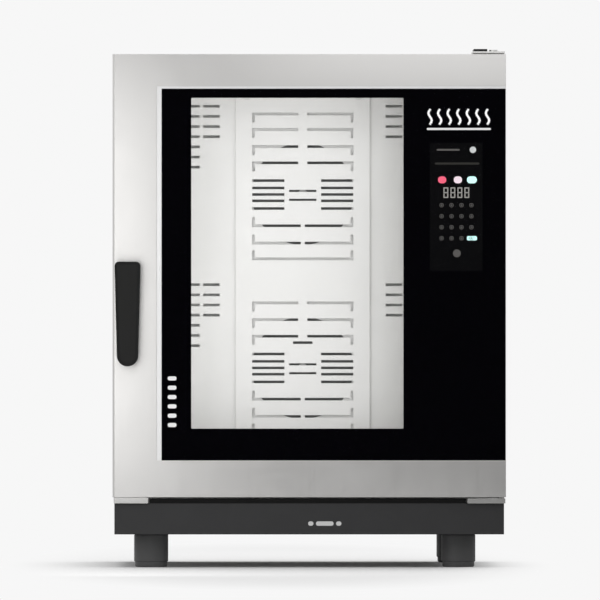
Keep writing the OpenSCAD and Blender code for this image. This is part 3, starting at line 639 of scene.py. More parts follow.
def weigh_normals(piece: bpy.types.Object) -> None:
    """Leans a piece's shading normals towards its largest faces, so that its flats look flat."""
    modifier = piece.modifiers.new("weighted", "WEIGHTED_NORMAL")
    modifier.weight = 100
    modifier.keep_sharp = True
    bpy.context.view_layer.update()
    seen = piece.evaluated_get(bpy.context.evaluated_depsgraph_get())
    mesh = bpy.data.meshes.new_from_object(seen)
    piece.modifiers.remove(modifier)
    piece.data = mesh


# ---------------------------------------------------------------- frame lookups

SLOT_OF = {row["node"]: row["material_slot"] for row in frame["record"]["subparts"]}
BODY_OF = {node: body for body, nodes in frame["record"]["behaviour"]["bodies"].items() for node in nodes}


def material_of(node: str) -> bpy.types.Material:
    """Returns the finish of a CAD node."""
    return MATERIALS[SLOT_OF[node]]


def place(node: str) -> Box:
    """Returns a CAD node's lowest and highest corners."""
    low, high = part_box(node)
    return Vector(low), Vector(high)


def settle(piece: bpy.types.Object, body: str, slot: str, *replaced: str) -> None:
    """Puts a piece on its body and hides the CAD nodes that it stands for."""
    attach(piece, body)
    if replaced:
        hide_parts(*replaced)
    LOG.info("%s: %d faces on %s", piece.name, len(piece.data.polygons), body)


# ---------------------------------------------------------------- geometry nodes


class NodeShape:
    """A Geometry Nodes tree with named inputs, run once and turned into a plain mesh."""

    def __init__(self, name: str, inputs: dict[str, str]) -> None:
        """Starts an empty tree.

        Args:
            name: The tree's name.
            inputs: Input name to socket type.
        """
        self.tree = bpy.data.node_groups.new(name, "GeometryNodeTree")
        self.ids = {}
        for label, kind in inputs.items():
            socket = self.tree.interface.new_socket(label, in_out="INPUT", socket_type=kind)
            self.ids[label] = socket.identifier
        self.tree.interface.new_socket("Geometry", in_out="OUTPUT", socket_type="NodeSocketGeometry")
        self.source = self.tree.nodes.new("NodeGroupInput")
        self.target = self.tree.nodes.new("NodeGroupOutput")

    def add(self, kind: str, **values: object) -> bpy.types.Node:
        """Adds a node, with properties or input values set by name."""
        return put(self.tree, kind, **values)

    def wire(self, output: bpy.types.NodeSocket, target: bpy.types.NodeSocket) -> None:
        """Links two sockets."""
        self.tree.links.new(output, target)

    def close(self, geometry: bpy.types.NodeSocket) -> None:
        """Ends the tree in Realize Instances and Set Material."""
        real = self.add("GeometryNodeRealizeInstances")
        dressed = self.add("GeometryNodeSetMaterial")
        self.wire(geometry, real.inputs["Geometry"])
        self.wire(real.outputs["Geometry"], dressed.inputs["Geometry"])
        self.wire(self.source.outputs["Material"], dressed.inputs["Material"])
        self.wire(dressed.outputs["Geometry"], self.target.inputs["Geometry"])

    def run(self, name: str, values: dict[str, object], smooth: float = 35.0) -> bpy.types.Object:
        """Evaluates the tree once.

        Args:
            name: The name of the finished piece.
            values: Input name to value.
            smooth: Edges flatter than this many degrees are shaded smooth.

        Returns:
            A plain mesh object at the origin, with no modifier.
        """
        host = bpy.data.objects.new(f"{name}_host", bpy.data.meshes.new(f"{name}_host"))
        bpy.context.scene.collection.objects.link(host)
        modifier = host.modifiers.new("shape", "NODES")
        modifier.node_group = self.tree
        for label, value in values.items():
            modifier[self.ids[label]] = value
        host.update_tag()
        graph = bpy.context.evaluated_depsgraph_get()
        mesh = bpy.data.meshes.new_from_object(host.evaluated_get(graph), depsgraph=graph)
        host.modifiers.clear()
        bpy.data.objects.remove(host)
        for item in values.values():
            if isinstance(item, bpy.types.Object):
                bpy.data.objects.remove(item)
        work = bmesh.new()
        work.from_mesh(mesh)
        bmesh.ops.remove_doubles(work, verts=work.verts, dist=1e-6)
        bmesh.ops.recalc_face_normals(work, faces=work.faces)
        mark_edges(work, smooth)
        work.to_mesh(mesh)
        work.free()
        return as_piece(name, mesh)


def grid_shape() -> NodeShape:
    """Makes the tree that repeats an item in columns along X and rows along Z.

    Returns:
        The tree; its item is modelled round the origin.
    """
    shape = NodeShape("items_in_rows", {
        "Item": "NodeSocketObject", "Columns": "NodeSocketInt", "Rows": "NodeSocketInt",
        "Column Pitch": "NodeSocketFloat", "Row Pitch": "NodeSocketFloat",
        "Start": "NodeSocketVector", "Material": "NodeSocketMaterial"})
    across = shape.add("ShaderNodeCombineXYZ")
    upward = shape.add("ShaderNodeCombineXYZ")
    rows = shape.add("GeometryNodeMeshLine", mode="OFFSET")
    columns = shape.add("GeometryNodeMeshLine", mode="OFFSET")
    spread = shape.add("GeometryNodeInstanceOnPoints")
    flat = shape.add("GeometryNodeRealizeInstances")
    item = shape.add("GeometryNodeObjectInfo")
    place_items = shape.add("GeometryNodeInstanceOnPoints")
    inputs = shape.source.outputs
    for output, target in (
            (inputs["Column Pitch"], across.inputs["X"]),
            (inputs["Row Pitch"], upward.inputs["Z"]),
            (inputs["Rows"], rows.inputs["Count"]),
            (inputs["Start"], rows.inputs["Start Location"]),
            (upward.outputs["Vector"], rows.inputs["Offset"]),
            (inputs["Columns"], columns.inputs["Count"]),
            (across.outputs["Vector"], columns.inputs["Offset"]),
            (rows.outputs["Mesh"], spread.inputs["Points"]),
            (columns.outputs["Mesh"], spread.inputs["Instance"]),
            (spread.outputs["Instances"], flat.inputs["Geometry"]),
            (inputs["Item"], item.inputs["Object"]),
            (flat.outputs["Geometry"], place_items.inputs["Points"]),
            (item.outputs["Geometry"], place_items.inputs["Instance"])):
        shape.wire(output, target)
    shape.close(place_items.outputs["Instances"])
    return shape


def sweep_shape() -> NodeShape:
    """Makes the tree that sweeps a profile along a closed path.

    Returns:
        The tree; path and profile are mesh loops, and the profile lies in the XY plane.
    """
    shape = NodeShape("profile_round_path", {
        "Path": "NodeSocketObject", "Profile": "NodeSocketObject", "Material": "NodeSocketMaterial"})
    curves = []
    for label in ("Path", "Profile"):
        info = shape.add("GeometryNodeObjectInfo")
        curve = shape.add("GeometryNodeMeshToCurve")
        shape.wire(shape.source.outputs[label], info.inputs["Object"])
        shape.wire(info.outputs["Geometry"], curve.inputs["Mesh"])
        curves.append(curve)
    upright = shape.add("GeometryNodeSetCurveNormal")
    sweep = shape.add("GeometryNodeCurveToMesh")
    shape.wire(curves[0].outputs["Curve"], upright.inputs["Curve"])
    shape.wire(upright.outputs["Curve"], sweep.inputs["Curve"])
    shape.wire(curves[1].outputs["Curve"], sweep.inputs["Profile Curve"])
    shape.close(sweep.outputs["Mesh"])
    return shape


GRID = grid_shape()
SWEEP = sweep_shape()


def rows_of(name: str, item: bpy.types.Mesh, material: bpy.types.Material, start: Triple, columns: int = 1,
            rows: int = 1, column_pitch: float = 0.0, row_pitch: float = 0.0) -> bpy.types.Object:
    """Repeats an item in columns and rows and returns the finished piece."""
    return GRID.run(name, {
        "Item": as_piece(f"{name}_item", item), "Columns": columns, "Rows": rows,
        "Column Pitch": column_pitch, "Row Pitch": row_pitch, "Start": start, "Material": material})


def loop_object(name: str, points: Sequence[Triple]) -> bpy.types.Object:
    """Returns an object that holds one closed loop of edges."""
    mesh = bpy.data.meshes.new(name)
    count = len(points)
    mesh.from_pydata(points, [(i, (i + 1) % count) for i in range(count)], [])
    return as_piece(name, mesh)


# ---------------------------------------------------------------- studio


@dataclass
class Studio:
    """The camera, the soft lights and the pale floor, with a soft shadow painted round the oven.

    Sizes are width and height, and powers are in watts. A card hangs in front of the door, and its
    reflection covers the steel outside the pane by card_gap.
    """

    distance: float = 30.0
    stand_x: float = -0.27
    aim: Pair = (-0.0179, 0.517)
    frame_width: float = 1.159
    sensor: float = 36.0
    reach: float = 14.0
    floor_tone: float = 0.78
    glow: float = 0.93
    box_size: Pair = (3.0, 2.0)
    box_power: float = 34.0
    card_reach: float = 1.0
    card_gap: float = 0.022
    left_size: Pair = (0.45, 0.84)
    left_power: float = 2.0
    top_size: Pair = (0.95, 0.46)
    top_start: float = -0.13
    top_power: float = 1.5
    fill_margin: Pair = (0.13, 0.07)
    fill_power: float = 0.95

    def build(self) -> None:
        """Makes everything."""
        self.make_camera()
        self.make_world()
        self.make_floor()
        self.make_lights()

    def make_camera(self) -> None:
        """Puts the camera far in front of the door and a little to the left."""
        data = bpy.data.cameras.new("camera")
        camera = bpy.data.objects.new("camera", data)
        bpy.context.scene.collection.objects.link(camera)
        door_y = place("outer_glass")[0].y
        target = Vector((self.aim[0], door_y, self.aim[1]))
        camera.location = (self.stand_x, door_y - self.distance, self.aim[1])
        camera.rotation_euler = (target - camera.location).to_track_quat("-Z", "Y").to_euler()
        data.sensor_width = self.sensor
        data.lens = self.sensor * self.distance / self.frame_width
        data.clip_end = 4 * self.distance
        data.dof.use_dof = False
        bpy.context.scene.camera = camera

    def make_world(self) -> None:
        """Lights the scene from a soft white tent with a dark opening in front of the door."""
        world = bpy.data.worlds.new("tent")
        bpy.context.scene.world = world
        world.use_nodes = True
        tree = world.node_tree
        tree.nodes.clear()
        coords = put(tree, "ShaderNodeTexCoord")
        split = put(tree, "ShaderNodeSeparateXYZ")
        tree.links.new(coords.outputs["Generated"], split.inputs["Vector"])
        front = maths(tree, "MULTIPLY", split.outputs["Y"], -1.0)
        opening = put(tree, "ShaderNodeMapRange", From_Min=0.990, From_Max=0.997, To_Min=1.0, To_Max=0.0)
        tree.links.new(front, opening.inputs["Value"])
        dusk = put(tree, "ShaderNodeMapRange", From_Min=0.80, From_Max=0.96, To_Min=1.0, To_Max=0.17)
        tree.links.new(front, dusk.inputs["Value"])
        height = put(tree, "ShaderNodeMapRange", From_Min=-0.3, From_Max=0.9, To_Min=0.85, To_Max=1.22)
        tree.links.new(split.outputs["Z"], height.inputs["Value"])
        side = put(tree, "ShaderNodeMapRange", From_Min=-1.0, From_Max=1.0, To_Min=1.1, To_Max=0.9)
        tree.links.new(split.outputs["X"], side.inputs["Value"])
        tent = maths(tree, "MULTIPLY", maths(tree, "MULTIPLY", height.outputs[0], side.outputs[0]),
                     maths(tree, "MULTIPLY", opening.outputs[0], dusk.outputs[0]))
        seen = put(tree, "ShaderNodeBackground", Color=(0.93, 0.93, 0.93, 1.0))
        lit = put(tree, "ShaderNodeBackground")
        tree.links.new(tent, lit.inputs["Strength"])
        path = put(tree, "ShaderNodeLightPath")
        mix = put(tree, "ShaderNodeMixShader")
        out = put(tree, "ShaderNodeOutputWorld")
        tree.links.new(path.outputs["Is Camera Ray"], mix.inputs["Fac"])
        tree.links.new(lit.outputs[0], mix.inputs[1])
        tree.links.new(seen.outputs[0], mix.inputs[2])
        tree.links.new(mix.outputs[0], out.inputs["Surface"])

    def make_floor(self) -> None:
        """Lays a round pale floor whose far part is as bright as the tent, with a painted shadow round the
        oven: the glow fades out in an ellipse set a little to the left of the oven.
        """
        def draw(work: bmesh.types.BMesh) -> None:
            """Draws the floor's outline and its one face."""
            rim = arc(0.0, 0.0, self.reach, range(0, 360, 5))
            work.faces.new([work.verts.new((x, y, 0.0)) for x, y in rim])
        finish = Finish("pale_floor_painted_shadow")
        tree = finish.tree
        coords = put(tree, "ShaderNodeTexCoord")
        # Painted shadow: this ellipse, wide across and short from front to back, sets where the floor's glow
        # fades out, and so paints the soft shadow's size and place round the oven.
        spread = put(tree, "ShaderNodeMapping", Location=(0.14, 0.0, 0.0), Scale=(2.4, 0.45, 1.0))
        tree.links.new(coords.outputs["Object"], spread.inputs["Vector"])
        reach = put(tree, "ShaderNodeVectorMath", operation="LENGTH")
        tree.links.new(spread.outputs["Vector"], reach.inputs[0])
        # far is 0 inside the painted shadow and 1 outside it.
        far = put(tree, "ShaderNodeMapRange", From_Min=0.7, From_Max=1.3, interpolation_type="SMOOTHSTEP")
        tree.links.new(reach.outputs["Value"], far.inputs["Value"])
        tone = self.floor_tone
        finish.link(finish.blend(far.outputs[0], (tone,) * 3, (0.0,) * 3), "Base Color")
        path = put(tree, "ShaderNodeLightPath")
        seen = finish.between(path.outputs["Is Camera Ray"], 0.3, 1.0)
        shine = finish.between(far.outputs[0], 0.0, self.glow)
        finish.link(maths(tree, "MULTIPLY", shine, seen), "Emission Strength")
        finish.set(Roughness=0.95, Specular_IOR_Level=0.0, Emission_Color=(1, 1, 1, 1))
        floor = as_piece("floor", mesh_from("floor", draw, 60.0), finish.material)

    def lamp(self, name: str, place_at: Triple, aim: Triple, size: Pair, power: float,
             seen: bool = False) -> None:
        """Adds a rectangular soft lamp.

        Args:
            name: The lamp's name.
            place_at: Where it hangs.
            aim: The point that it faces.
            size: Its width and height.
            power: Its power in watts.
            seen: Whether reflections show it.
        """
        data = bpy.data.lights.new(name, "AREA")
        data.shape = "RECTANGLE"
        data.size, data.size_y = size
        data.energy = power
        lamp = bpy.data.objects.new(name, data)
        lamp.location = place_at
        lamp.rotation_euler = (Vector(aim) - Vector(place_at)).to_track_quat("-Z", "Y").to_euler()
        lamp.visible_camera = False
        lamp.visible_glossy = seen
        bpy.context.scene.collection.objects.link(lamp)

    def make_lights(self) -> None:
        """Hangs a soft box and two cards outside, and a soft fill light in the mouth of the cavity."""
        self.lamp("top_box", (0.0, 0.9, 3.2), (0.0, -0.1, 0.3), self.box_size, self.box_power)
        door_low = place("door_skin")[0]
        pane_low, pane_high = place("outer_glass")
        card_y = door_low.y - self.card_reach
        wide, tall = self.left_size
        middle = (pane_low.x - self.card_gap - wide / 2, card_y, door_low.z + 0.02 + tall / 2)
        self.card("left_card", middle, self.left_size, self.left_power)
        wide, tall = self.top_size
        middle = (self.top_start + wide / 2, card_y, pane_high.z + self.card_gap + tall / 2)
        self.card("top_card", middle, self.top_size, self.top_power)
        low, high = place("cavity_shell")
        wide, tall = high.x - low.x - self.fill_margin[0], high.z - low.z - self.fill_margin[1]
        middle = (low.x + 0.01 + wide / 2, low.y + 0.03, (low.z + high.z) / 2 + 0.02)
        self.card("cavity_fill", middle, (wide, tall), self.fill_power)

    def card(self, name: str, middle: Triple, size: Pair, power: float) -> None:
        """Adds an upright card that shines backwards and shows in reflections.

        Args:
            name: The card's name.
            middle: Its middle.
            size: Its width and height.
            power: Its power in watts.
        """
        self.lamp(name, middle, (middle[0], middle[1] + 1.0, middle[2]), size, power, True)


# ---------------------------------------------------------------- sub-assemblies


@dataclass
class Door:
    """The door's skin, trim, clips, latch housing, hinge bushes, outer pane and lamp strips."""

    edge: float = 0.0009
    bend: float = 0.0003
    pane_edge: float = 0.0007
    lamp_edge: float = 0.001

    def build(self) -> None:
        """Rounds the folded sheet and the pane's edges."""
        softened("door_skin", self.edge)
        for node in ("glass_trim", "glass_clips", "latch_housing", "hinge_bushes"):
            softened(node, self.bend)
        softened("outer_glass", self.pane_edge)
        softened("lamp_strips", self.lamp_edge)


@dataclass
class Keypad:
    """The lamps, figures and key marks that shine through the black touch panel.

    Every height is a distance below the marks' upper edge, and every x one from their left edge.
    """

    lift: float = 0.00012
    thin: float = 0.0001
    margin_left: float = 0.003
    margin_top: float = 0.011
    line_height: float = 0.0135
    divider_height: float = 0.040
    lamp_height: float = 0.0715
    lamp_tall: float = 0.0135
    figures_height: float = 0.086
    keys_height: float = 0.1205
    keys_x: float = 0.0225
    key_pitch: Pair = (0.0192, 0.0213)
    key_radius: float = 0.0042
    ring_height: float = 0.2135
    dim: Glow = Glow("dim_mark", (0.10, 0.095, 0.09), 0.5)
    bar: Glow = Glow("faint_bar", (0.018, 0.017, 0.013), 0.5)
    white: Glow = Glow("white_mark", (0.55, 0.57, 0.57), 0.7)
    figure: Glow = Glow("grey_figure", (0.33, 0.32, 0.30), 0.6)
    red: Glow = Glow("red_lamp", (0.72, 0.10, 0.17), 0.95)
    rose: Glow = Glow("rose_lamp", (0.72, 0.60, 0.66), 0.95)
    cyan: Glow = Glow("cyan_lamp", (0.55, 0.88, 0.84), 1.0)

    def build(self) -> None:
        """Makes the keypad from the top down."""
        low, high = place("touch_panel")
        self.face_y = low.y
        self.left, self.top = low.x + self.margin_left, high.z - self.margin_top
        self.flat("service_line", [self.bar_shape(0.013, self.line_height, 0.0445, 0.0035)], self.dim)
        self.flat("status_dot", [self.disc(0.083, self.line_height, 0.0062)], self.white)
        self.flat("divider_line", [self.bar_shape(0.0095, self.divider_height, 0.086, 0.004)], self.bar)
        for name, x, wide, glow in (("heat_lamp", 0.0235, 0.016, self.red),
                                    ("mix_lamp", 0.054, 0.016, self.rose),
                                    ("steam_lamp", 0.081, 0.019, self.cyan)):
            outline = rounded(self.span(x, wide), self.drop(self.lamp_height, self.lamp_tall), 0.0062, 5)
            self.flat(name, [outline], glow)
        self.figures()
        self.keys()
        self.flat("start_ring", [self.disc(0.052, self.ring_height, 0.0075)], self.dim)

    def span(self, x: float, wide: float) -> Pair:
        """Returns the left and right of something centred x from the panel's left edge."""
        return self.left + x - wide / 2, self.left + x + wide / 2

    def drop(self, z: float, tall: float) -> Pair:
        """Returns the bottom and top of something centred z below the panel's top edge."""
        return self.top - z - tall / 2, self.top - z + tall / 2

    def bar_shape(self, x: float, z: float, wide: float, tall: float) -> list[Pair]:
        """Returns a bar that starts x from the left edge."""
        return rounded((self.left + x, self.left + x + wide), self.drop(z, tall), tall * 0.45, 3)

    def disc(self, x: float, z: float, radius: float) -> list[Pair]:
        """Returns a disc's outline."""
        return arc(self.left + x, self.top - z, radius, range(0, 360, 15))

    def flat(self, name: str, outlines: Sequence[Sequence[Pair]], glow: Glow) -> None:
        """Makes one lit mark of thin plates just in front of the touch panel."""
        def draw(work: bmesh.types.BMesh) -> None:
            """Draws each plate."""
            for outline in outlines:
                add_plate(work, outline, self.face_y - self.lift - self.thin, self.thin)
        piece = as_piece(name, mesh_from(name, draw), glow_material(glow))
        settle(piece, "door", "touch_black")

    def figures(self) -> None:
        """Makes the four seven bar figures."""
        wide, tall, thick, pitch = 0.0095, 0.0205, 0.0022, 0.0135
        plates = []
        for i in range(4):
            x0 = self.left + 0.026 + i * pitch
            z1 = self.top - self.figures_height
            z0, zm = z1 - tall, z1 - tall / 2
            gap = thick * 0.6
            flat = [(z1 - thick, z1), (z0, z0 + thick), (zm - thick / 2, zm + thick / 2)]
            upright = [(zm + gap, z1 - gap), (z0 + gap, zm - gap)]
            bars = [((x0, x0 + wide), flat[0]), ((x0 + wide - thick, x0 + wide), upright[0]),
                    ((x0 + wide - thick, x0 + wide), upright[1]), ((x0, x0 + wide), flat[1]),
                    ((x0, x0 + thick), upright[1]), ((x0, x0 + thick), upright[0]),
                    ((x0, x0 + wide), flat[2])]
            plates += [rounded(x, z, thick * 0.35, 2) for x, z in bars]
        self.flat("clock_figures", plates, self.figure)

    def keys(self) -> None:
        """Makes the four by four field of key marks and the lit key in its last place."""
        across, down = self.key_pitch
        last_height = self.keys_height + 3 * down
        start = (self.left + self.keys_x, self.face_y - self.lift - self.thin, self.top - last_height)

        def mark(work: bmesh.types.BMesh) -> None:
            """Draws a small ring with a dot in it."""
            ring = arc(0.0, 0.0, self.key_radius, range(0, 360, 30))
            hole = [(x * 0.72, z * 0.72) for x, z in ring]
            outer = [work.verts.new((x, 0.0, z)) for x, z in ring]
            inner = [work.verts.new((x, 0.0, z)) for x, z in hole]
            count = len(outer)
            for i in range(count):
                j = (i + 1) % count
                work.faces.new((outer[i], outer[j], inner[j], inner[i]))
            bmesh.ops.solidify(work, geom=list(work.faces), thickness=self.thin)
            add_plate(work, [(x * 0.4, z * 0.4) for x, z in ring], 0.0, self.thin)
        keys = rows_of("key_marks", mesh_from("key_mark", mark), glow_material(self.dim), start, 4, 4, across,
                       down)
        settle(keys, "door", "touch_black")
        lit_x = self.keys_x + 3 * across + 0.001
        lit = rounded(self.span(lit_x, 0.0195), self.drop(last_height, 0.0085), 0.003)
        self.flat("lit_key", [lit], self.cyan)


def glow_material(glow: Glow) -> bpy.types.Material:
    """Returns a glow's material, made once."""
    if glow.name not in MATERIALS:
        MATERIALS[glow.name] = glow.build()
    return MATERIALS[glow.name]


@dataclass
class PrintedMarks:
    """The plain white signs on the glass, with no lettering."""

    thin: float = 0.0001
    sunk: float = 0.0004
    steam_at: Pair = (0.091, 0.060)
    level_at: Pair = (0.020, 0.110)
    wave_pitch: float = 0.0185
    wave_swing: float = 0.0032
    wave_width: float = 0.0042
    bar_pitch: float = 0.018
    # The white print glows faintly: painted light on the print, which is no lamp.
    ink: Glow = Glow("white_ink_painted_glow", (0.88, 0.88, 0.88), 0.35)

    def build(self) -> None:
        """Makes the steam sign in the glass's upper right corner and the level sign in its lower left."""
        low, high = place("outer_glass")
        self.face_y = high.y - self.sunk
        self.steam_sign(high.x - self.steam_at[0], high.z - self.steam_at[1])
        self.level_sign(low.x + self.level_at[0], low.z + self.level_at[1])

    def stroke(self, points: Sequence[Pair], width: float) -> list[list[Pair]]:
        """Returns short plates that follow a line of points."""
        plates = []
        for (x0, z0), (x1, z1) in zip(points, points[1:]):
            run = Vector((x1 - x0, z1 - z0)).normalized() * width / 2
            side = Vector((-run.y, run.x))
            over = run * 0.6
            start, end = Vector((x0, z0)) - over, Vector((x1, z1)) + over
            plates.append([tuple(start + side), tuple(start - side), tuple(end - side), tuple(end + side)])
        return plates

    def print_on(self, name: str, plates: Sequence[Sequence[Pair]]) -> None:
        """Makes one sign of thin plates in the glass's back face."""
        def draw(work: bmesh.types.BMesh) -> None:
            """Draws each plate."""
            for plate in plates:
                add_plate(work, plate, self.face_y, self.thin)
        settle(as_piece(name, mesh_from(name, draw), glow_material(self.ink)), "door", "lamp_white")

    def steam_sign(self, x: float, z: float) -> None:
        """Makes a row of rising waves over a line, centred on a point."""
        plates = []
        for i in range(7):
            cx = x + (i - 3) * self.wave_pitch
            wave = [(cx + self.wave_swing * math.sin(math.pi * j / 4), z - 0.008 + 0.0035 * j)
                    for j in range(9)]
            plates += self.stroke(wave, self.wave_width)
        plates.append(rounded((x - 0.062, x + 0.062), (z - 0.0195, z - 0.0155), 0.0018, 3))
        self.print_on("steam_sign", plates)

    def level_sign(self, x: float, z: float) -> None:
        """Makes a column of plain bars, centred on a point."""
        starts = [z - 0.0455 + i * self.bar_pitch for i in range(6)]
        self.print_on("level_sign", [rounded((x - 0.0085, x + 0.0085), (low, low + 0.008), 0.0035, 3)
                                     for low in starts])


@dataclass
class HandleSet:
    """The turn handle."""

    edge: float = 0.0032
    recess: float = 0.0004
    rim: float = 0.0045
    tip_rim: float = 0.0095
    tip_rise: float = 0.02
    tip_drop: float = 0.014
    top_gap: float = 0.006
    # The face plastic is the handle's plastic made lighter: painted light on the flat face, set against the
    # shaded rounded rim.
    face: Moulded = Moulded("grip_face_painted_light", (0.009, 0.009, 0.0085), 0.42, 1600.0)

    def build(self) -> None:
        """Rounds the grip, sets its front back a little and adds the raised plate that stands there, whose
        lighter plastic paints light on the grip's face.
        """
        grip = softened("handle_grip", self.edge, 4, 30.0)
        low, high = place("handle_grip")
        for vert in grip.data.vertices:
            vert.co.y = max(vert.co.y, low.y + self.recess)
        mid, half = (low.x + high.x) / 2, (high.x - low.x) / 2

        def lit_face_plate(work: bmesh.types.BMesh) -> None:
            """Draws the raised middle of the grip's front."""
            top, end = half - self.rim, half - self.tip_rim
            head, tip = high.z - self.top_gap, low.z + self.tip_rise
            outline = [(mid - top, head), (mid - end, tip)]
            outline += arc(mid, tip, end, range(195, 360, 15), self.tip_drop)
            outline += [(mid + end, tip), (mid + top, head)]
            add_plate(work, outline, low.y, self.recess + 0.0003)
        piece = as_piece("grip_inlay", mesh_from("grip_inlay", lit_face_plate), self.face.build())
        settle(piece, "handle", "handle_plastic")


@dataclass
class Cabinet:
    """The outer panels, their vents and screws, and what stands on the top and the rear."""

    edge: float = 0.0006
    foot_edge: float = 0.0008
    sill_depth: float = 0.005
    badge_height: float = 0.021
    louvre_rows: int = 8
    louvre_pitch: float = 0.014
    louvre_half: float = 0.063
    wire: float = 0.0011
    screw_radius: float = 0.0045
    screw_rows: int = 6
    # The badge glows faintly: painted light, for the badge is no lamp.
    badge_painted_glow: Glow = Glow("badge_white_painted_glow", (0.62, 0.62, 0.62), 0.1)
    # The sill rubber is blacker than the gasket rubber: painted shade in the slot under the door.
    sill_painted_shade_finish: Moulded = Moulded("sill_rubber_painted_shade", (0.004, 0.004, 0.004), 0.7, 900.0)

    def build(self) -> None:
        """Rounds the panels and adds louvre hoods, screw heads and the fan's wire guard."""
        for node in ("base_frame", "upper_hinge_bracket", "lower_hinge_bracket", "door_rest_plate",
                     "hinge_cap", "latch_keeper"):
            softened(node, self.edge)
        for node in ("foot_front_left", "foot_front_right", "foot_rear_left", "foot_rear_right"):
            softened(node, self.foot_edge)
        self.sill()
        self.badge()
        self.louvres()
        self.guard()
        self.screws()

    def sill(self) -> None:
        """Adds a black rubber strip that closes the slot under the door; its black, darker than the gasket
        rubber, is partly painted shade in the slot.
        """
        plate, bracket = place("door_rest_plate"), place("lower_hinge_bracket")
        base_top, door_bottom = place("base_frame")[1].z, place("door_skin")[0].z
        front, gap = plate[0].y + 0.007, 0.003

        def draw(work: bmesh.types.BMesh) -> None:
            """Draws the strip."""
            add_block(work, (plate[1].x + gap, front, base_top - 0.0008),
                      (bracket[0].x - gap, front + self.sill_depth, door_bottom - gap), 0.001)
        piece = as_piece("sill_strip", mesh_from("sill_strip", draw), self.sill_painted_shade_finish.build())
        settle(piece, "root", "seal_rubber")

    def badge(self) -> None:
        """Adds a plain light badge of three bars to the front of the base; its faint glow is painted light.
        """
        low = place("base_frame")[0]
        middle, tall = low.z + self.badge_height, 0.0042

        def draw(work: bmesh.types.BMesh) -> None:
            """Draws the bars."""
            for x, wide in ((-0.002, 0.010), (0.013, 0.034), (0.052, 0.010)):
                outline = rounded((x, x + wide), (middle - tall, middle + tall), tall * 0.9, 4)
                add_plate(work, outline, low.y - 0.0002, 0.0004)
        piece = as_piece("base_badge", mesh_from("base_badge", draw), glow_material(self.badge_painted_glow))
        settle(piece, "root", "lamp_white")

    def louvres(self) -> None:
        """Adds a pressed hood over each slot of the rear panel."""
        low, high = place("rear_panel")
        steel = material_of("rear_panel")

        def hood(work: bmesh.types.BMesh) -> None:
            """Draws one hood, open at its lower edge."""
            curve = arc(0.0, 0.0, 0.004, range(0, 91, 18), 0.009)
            rows = [[(x, y, z) for x in (-self.louvre_half, self.louvre_half)] for y, z in curve]
            front = [[work.verts.new(p) for p in row] for row in rows]
            for a, b in zip(front, front[1:]):
                work.faces.new((a[0], a[1], b[1], b[0]))
            for side in (0, 1):
                corner = work.verts.new((rows[0][side][0], 0.0, 0.0))
                work.faces.new([corner] + [row[side] for row in front])
            bmesh.ops.solidify(work, geom=list(work.faces), thickness=0.0006)
        base = low.z + 0.0625
        for name, z in (("lower_louvres", base), ("upper_louvres", high.z + 0.0015 - 0.2175)):
            piece = rows_of(name, mesh_from("hood", hood), steel, (0.0, high.y, z), 1, self.louvre_rows, 0.0,
                            self.louvre_pitch)
            settle(piece, "root", "panel_steel")

    def guard(self) -> None:
        """Adds a wire guard over the cooling fan's openings."""
        low, high = place("cooling_fan_housing")
        centre = ((low.x + high.x) / 2, place("rear_panel")[1].y + 0.003, (low.z + high.z) / 2)

        def draw(work: bmesh.types.BMesh) -> None:
            """Draws four rings and four spokes of wire."""
            wire = self.wire
            for radius in (0.014, 0.028, 0.042, 0.055):
                ring = arc(radius, 0.0, wire, range(0, 360, 45))
                add_turned(work, ring + [ring[0]], centre, (0.0, 1.0, 0.0), 40)
            for i in range(4):
                angle = math.radians(45 + 90 * i)
                way = (math.cos(angle), 0.0, math.sin(angle))
                add_turned(work, [(0, 0.008), (wire, 0.008), (wire, 0.058), (0, 0.058)],
                           (centre[0], centre[1] + 0.0012, centre[2]), way, 8)
        piece = as_piece("fan_guard", mesh_from("fan_guard", draw), material_of("rack_studs"))
        settle(piece, "root", "bracket_steel")

    def screws(self) -> None:
        """Replaces the rear panel's plain screw heads by cross slotted ones."""
        low, high = place("panel_screws")
        radius, rows = self.screw_radius, self.screw_rows

        def head(work: bmesh.types.BMesh) -> None:
            """Draws a domed head with a cross recess."""
            add_turned(work, [(0, 0.0), (radius, 0.0), (radius, 0.0009), (radius * 0.75, 0.002),
                              (radius * 0.35, 0.0024), (radius * 0.35, 0.0012), (0, 0.0012)],
                       (0, 0, 0), (0.0, 1.0, 0.0), 20)
        pitch = (high.z - low.z - 2 * radius) / (rows - 1)
        piece = rows_of("cross_screws", mesh_from("screw_head", head), material_of("panel_screws"),
                        (low.x + radius, low.y, low.z + radius), 2, rows, high.x - low.x - 2 * radius, pitch)
        settle(piece, "root", "bracket_steel", "panel_screws")


@dataclass
class Cavity:
    """What shows through the window."""

    lip: float = 0.014
    corner: float = 0.034
    rack_edge: float = 0.0004

    def build(self) -> None:
        """Rounds the racks' rails and adds the gasket's domed lip."""
        for node in ("tray_rack_left", "tray_rack_right"):
            softened(node, self.rack_edge, 1)
        self.gasket()

    def gasket(self) -> None:
        """Sweeps the gasket's domed profile round the cavity's mouth."""
        low, high = place("door_gasket")
        half = self.lip / 2
        path = rounded((low.x + half, high.x - half), (low.z + half, high.z - half), self.corner - half, 10)
        loop = loop_object("gasket_path", [(x, high.y, z) for x, z in path])
        depth = high.y - low.y - 0.0002
        foot, shoulder = half - 0.0005, depth * 0.35
        outline = [(-foot, 0.0), (foot, 0.0), (foot, shoulder)]
        outline += arc(0.0, depth * 0.45, half * 0.62, range(0, 181, 20), depth * 0.55)
        outline += [(-foot, shoulder)]
        profile = loop_object("gasket_profile", [(x, y, 0.0) for x, y in outline])
        piece = SWEEP.run("gasket_lip", {"Path": loop, "Profile": profile,
                                         "Material": material_of("door_gasket")})
        settle(piece, "root", "seal_rubber", "door_gasket")


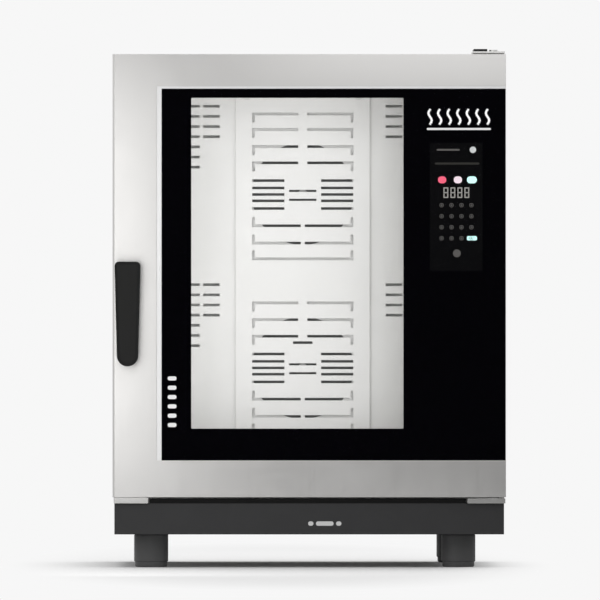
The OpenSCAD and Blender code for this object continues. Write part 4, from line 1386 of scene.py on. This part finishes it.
def dress_frame() -> None:
    """Gives every CAD node the finish of its slot."""
    for slot, finish in SLOT_FINISHES.items():
        MATERIALS[slot] = finish.build()
    for node, item in frame["nodes"].items():
        for row in item.material_slots:
            row.material = material_of(node)


def main() -> None:
    """Builds the scene in order."""
    logging.basicConfig(level=logging.INFO, format="%(message)s")
    bpy.context.scene.view_settings.view_transform = "Standard"
    dress_frame()
    Studio().build()
    for part in (Door(), Keypad(), PrintedMarks(), HandleSet(), Cabinet(), Cavity()):
        LOG.info("building %s", type(part).__name__)
        part.build()


if __name__ == "__main__":
    main()
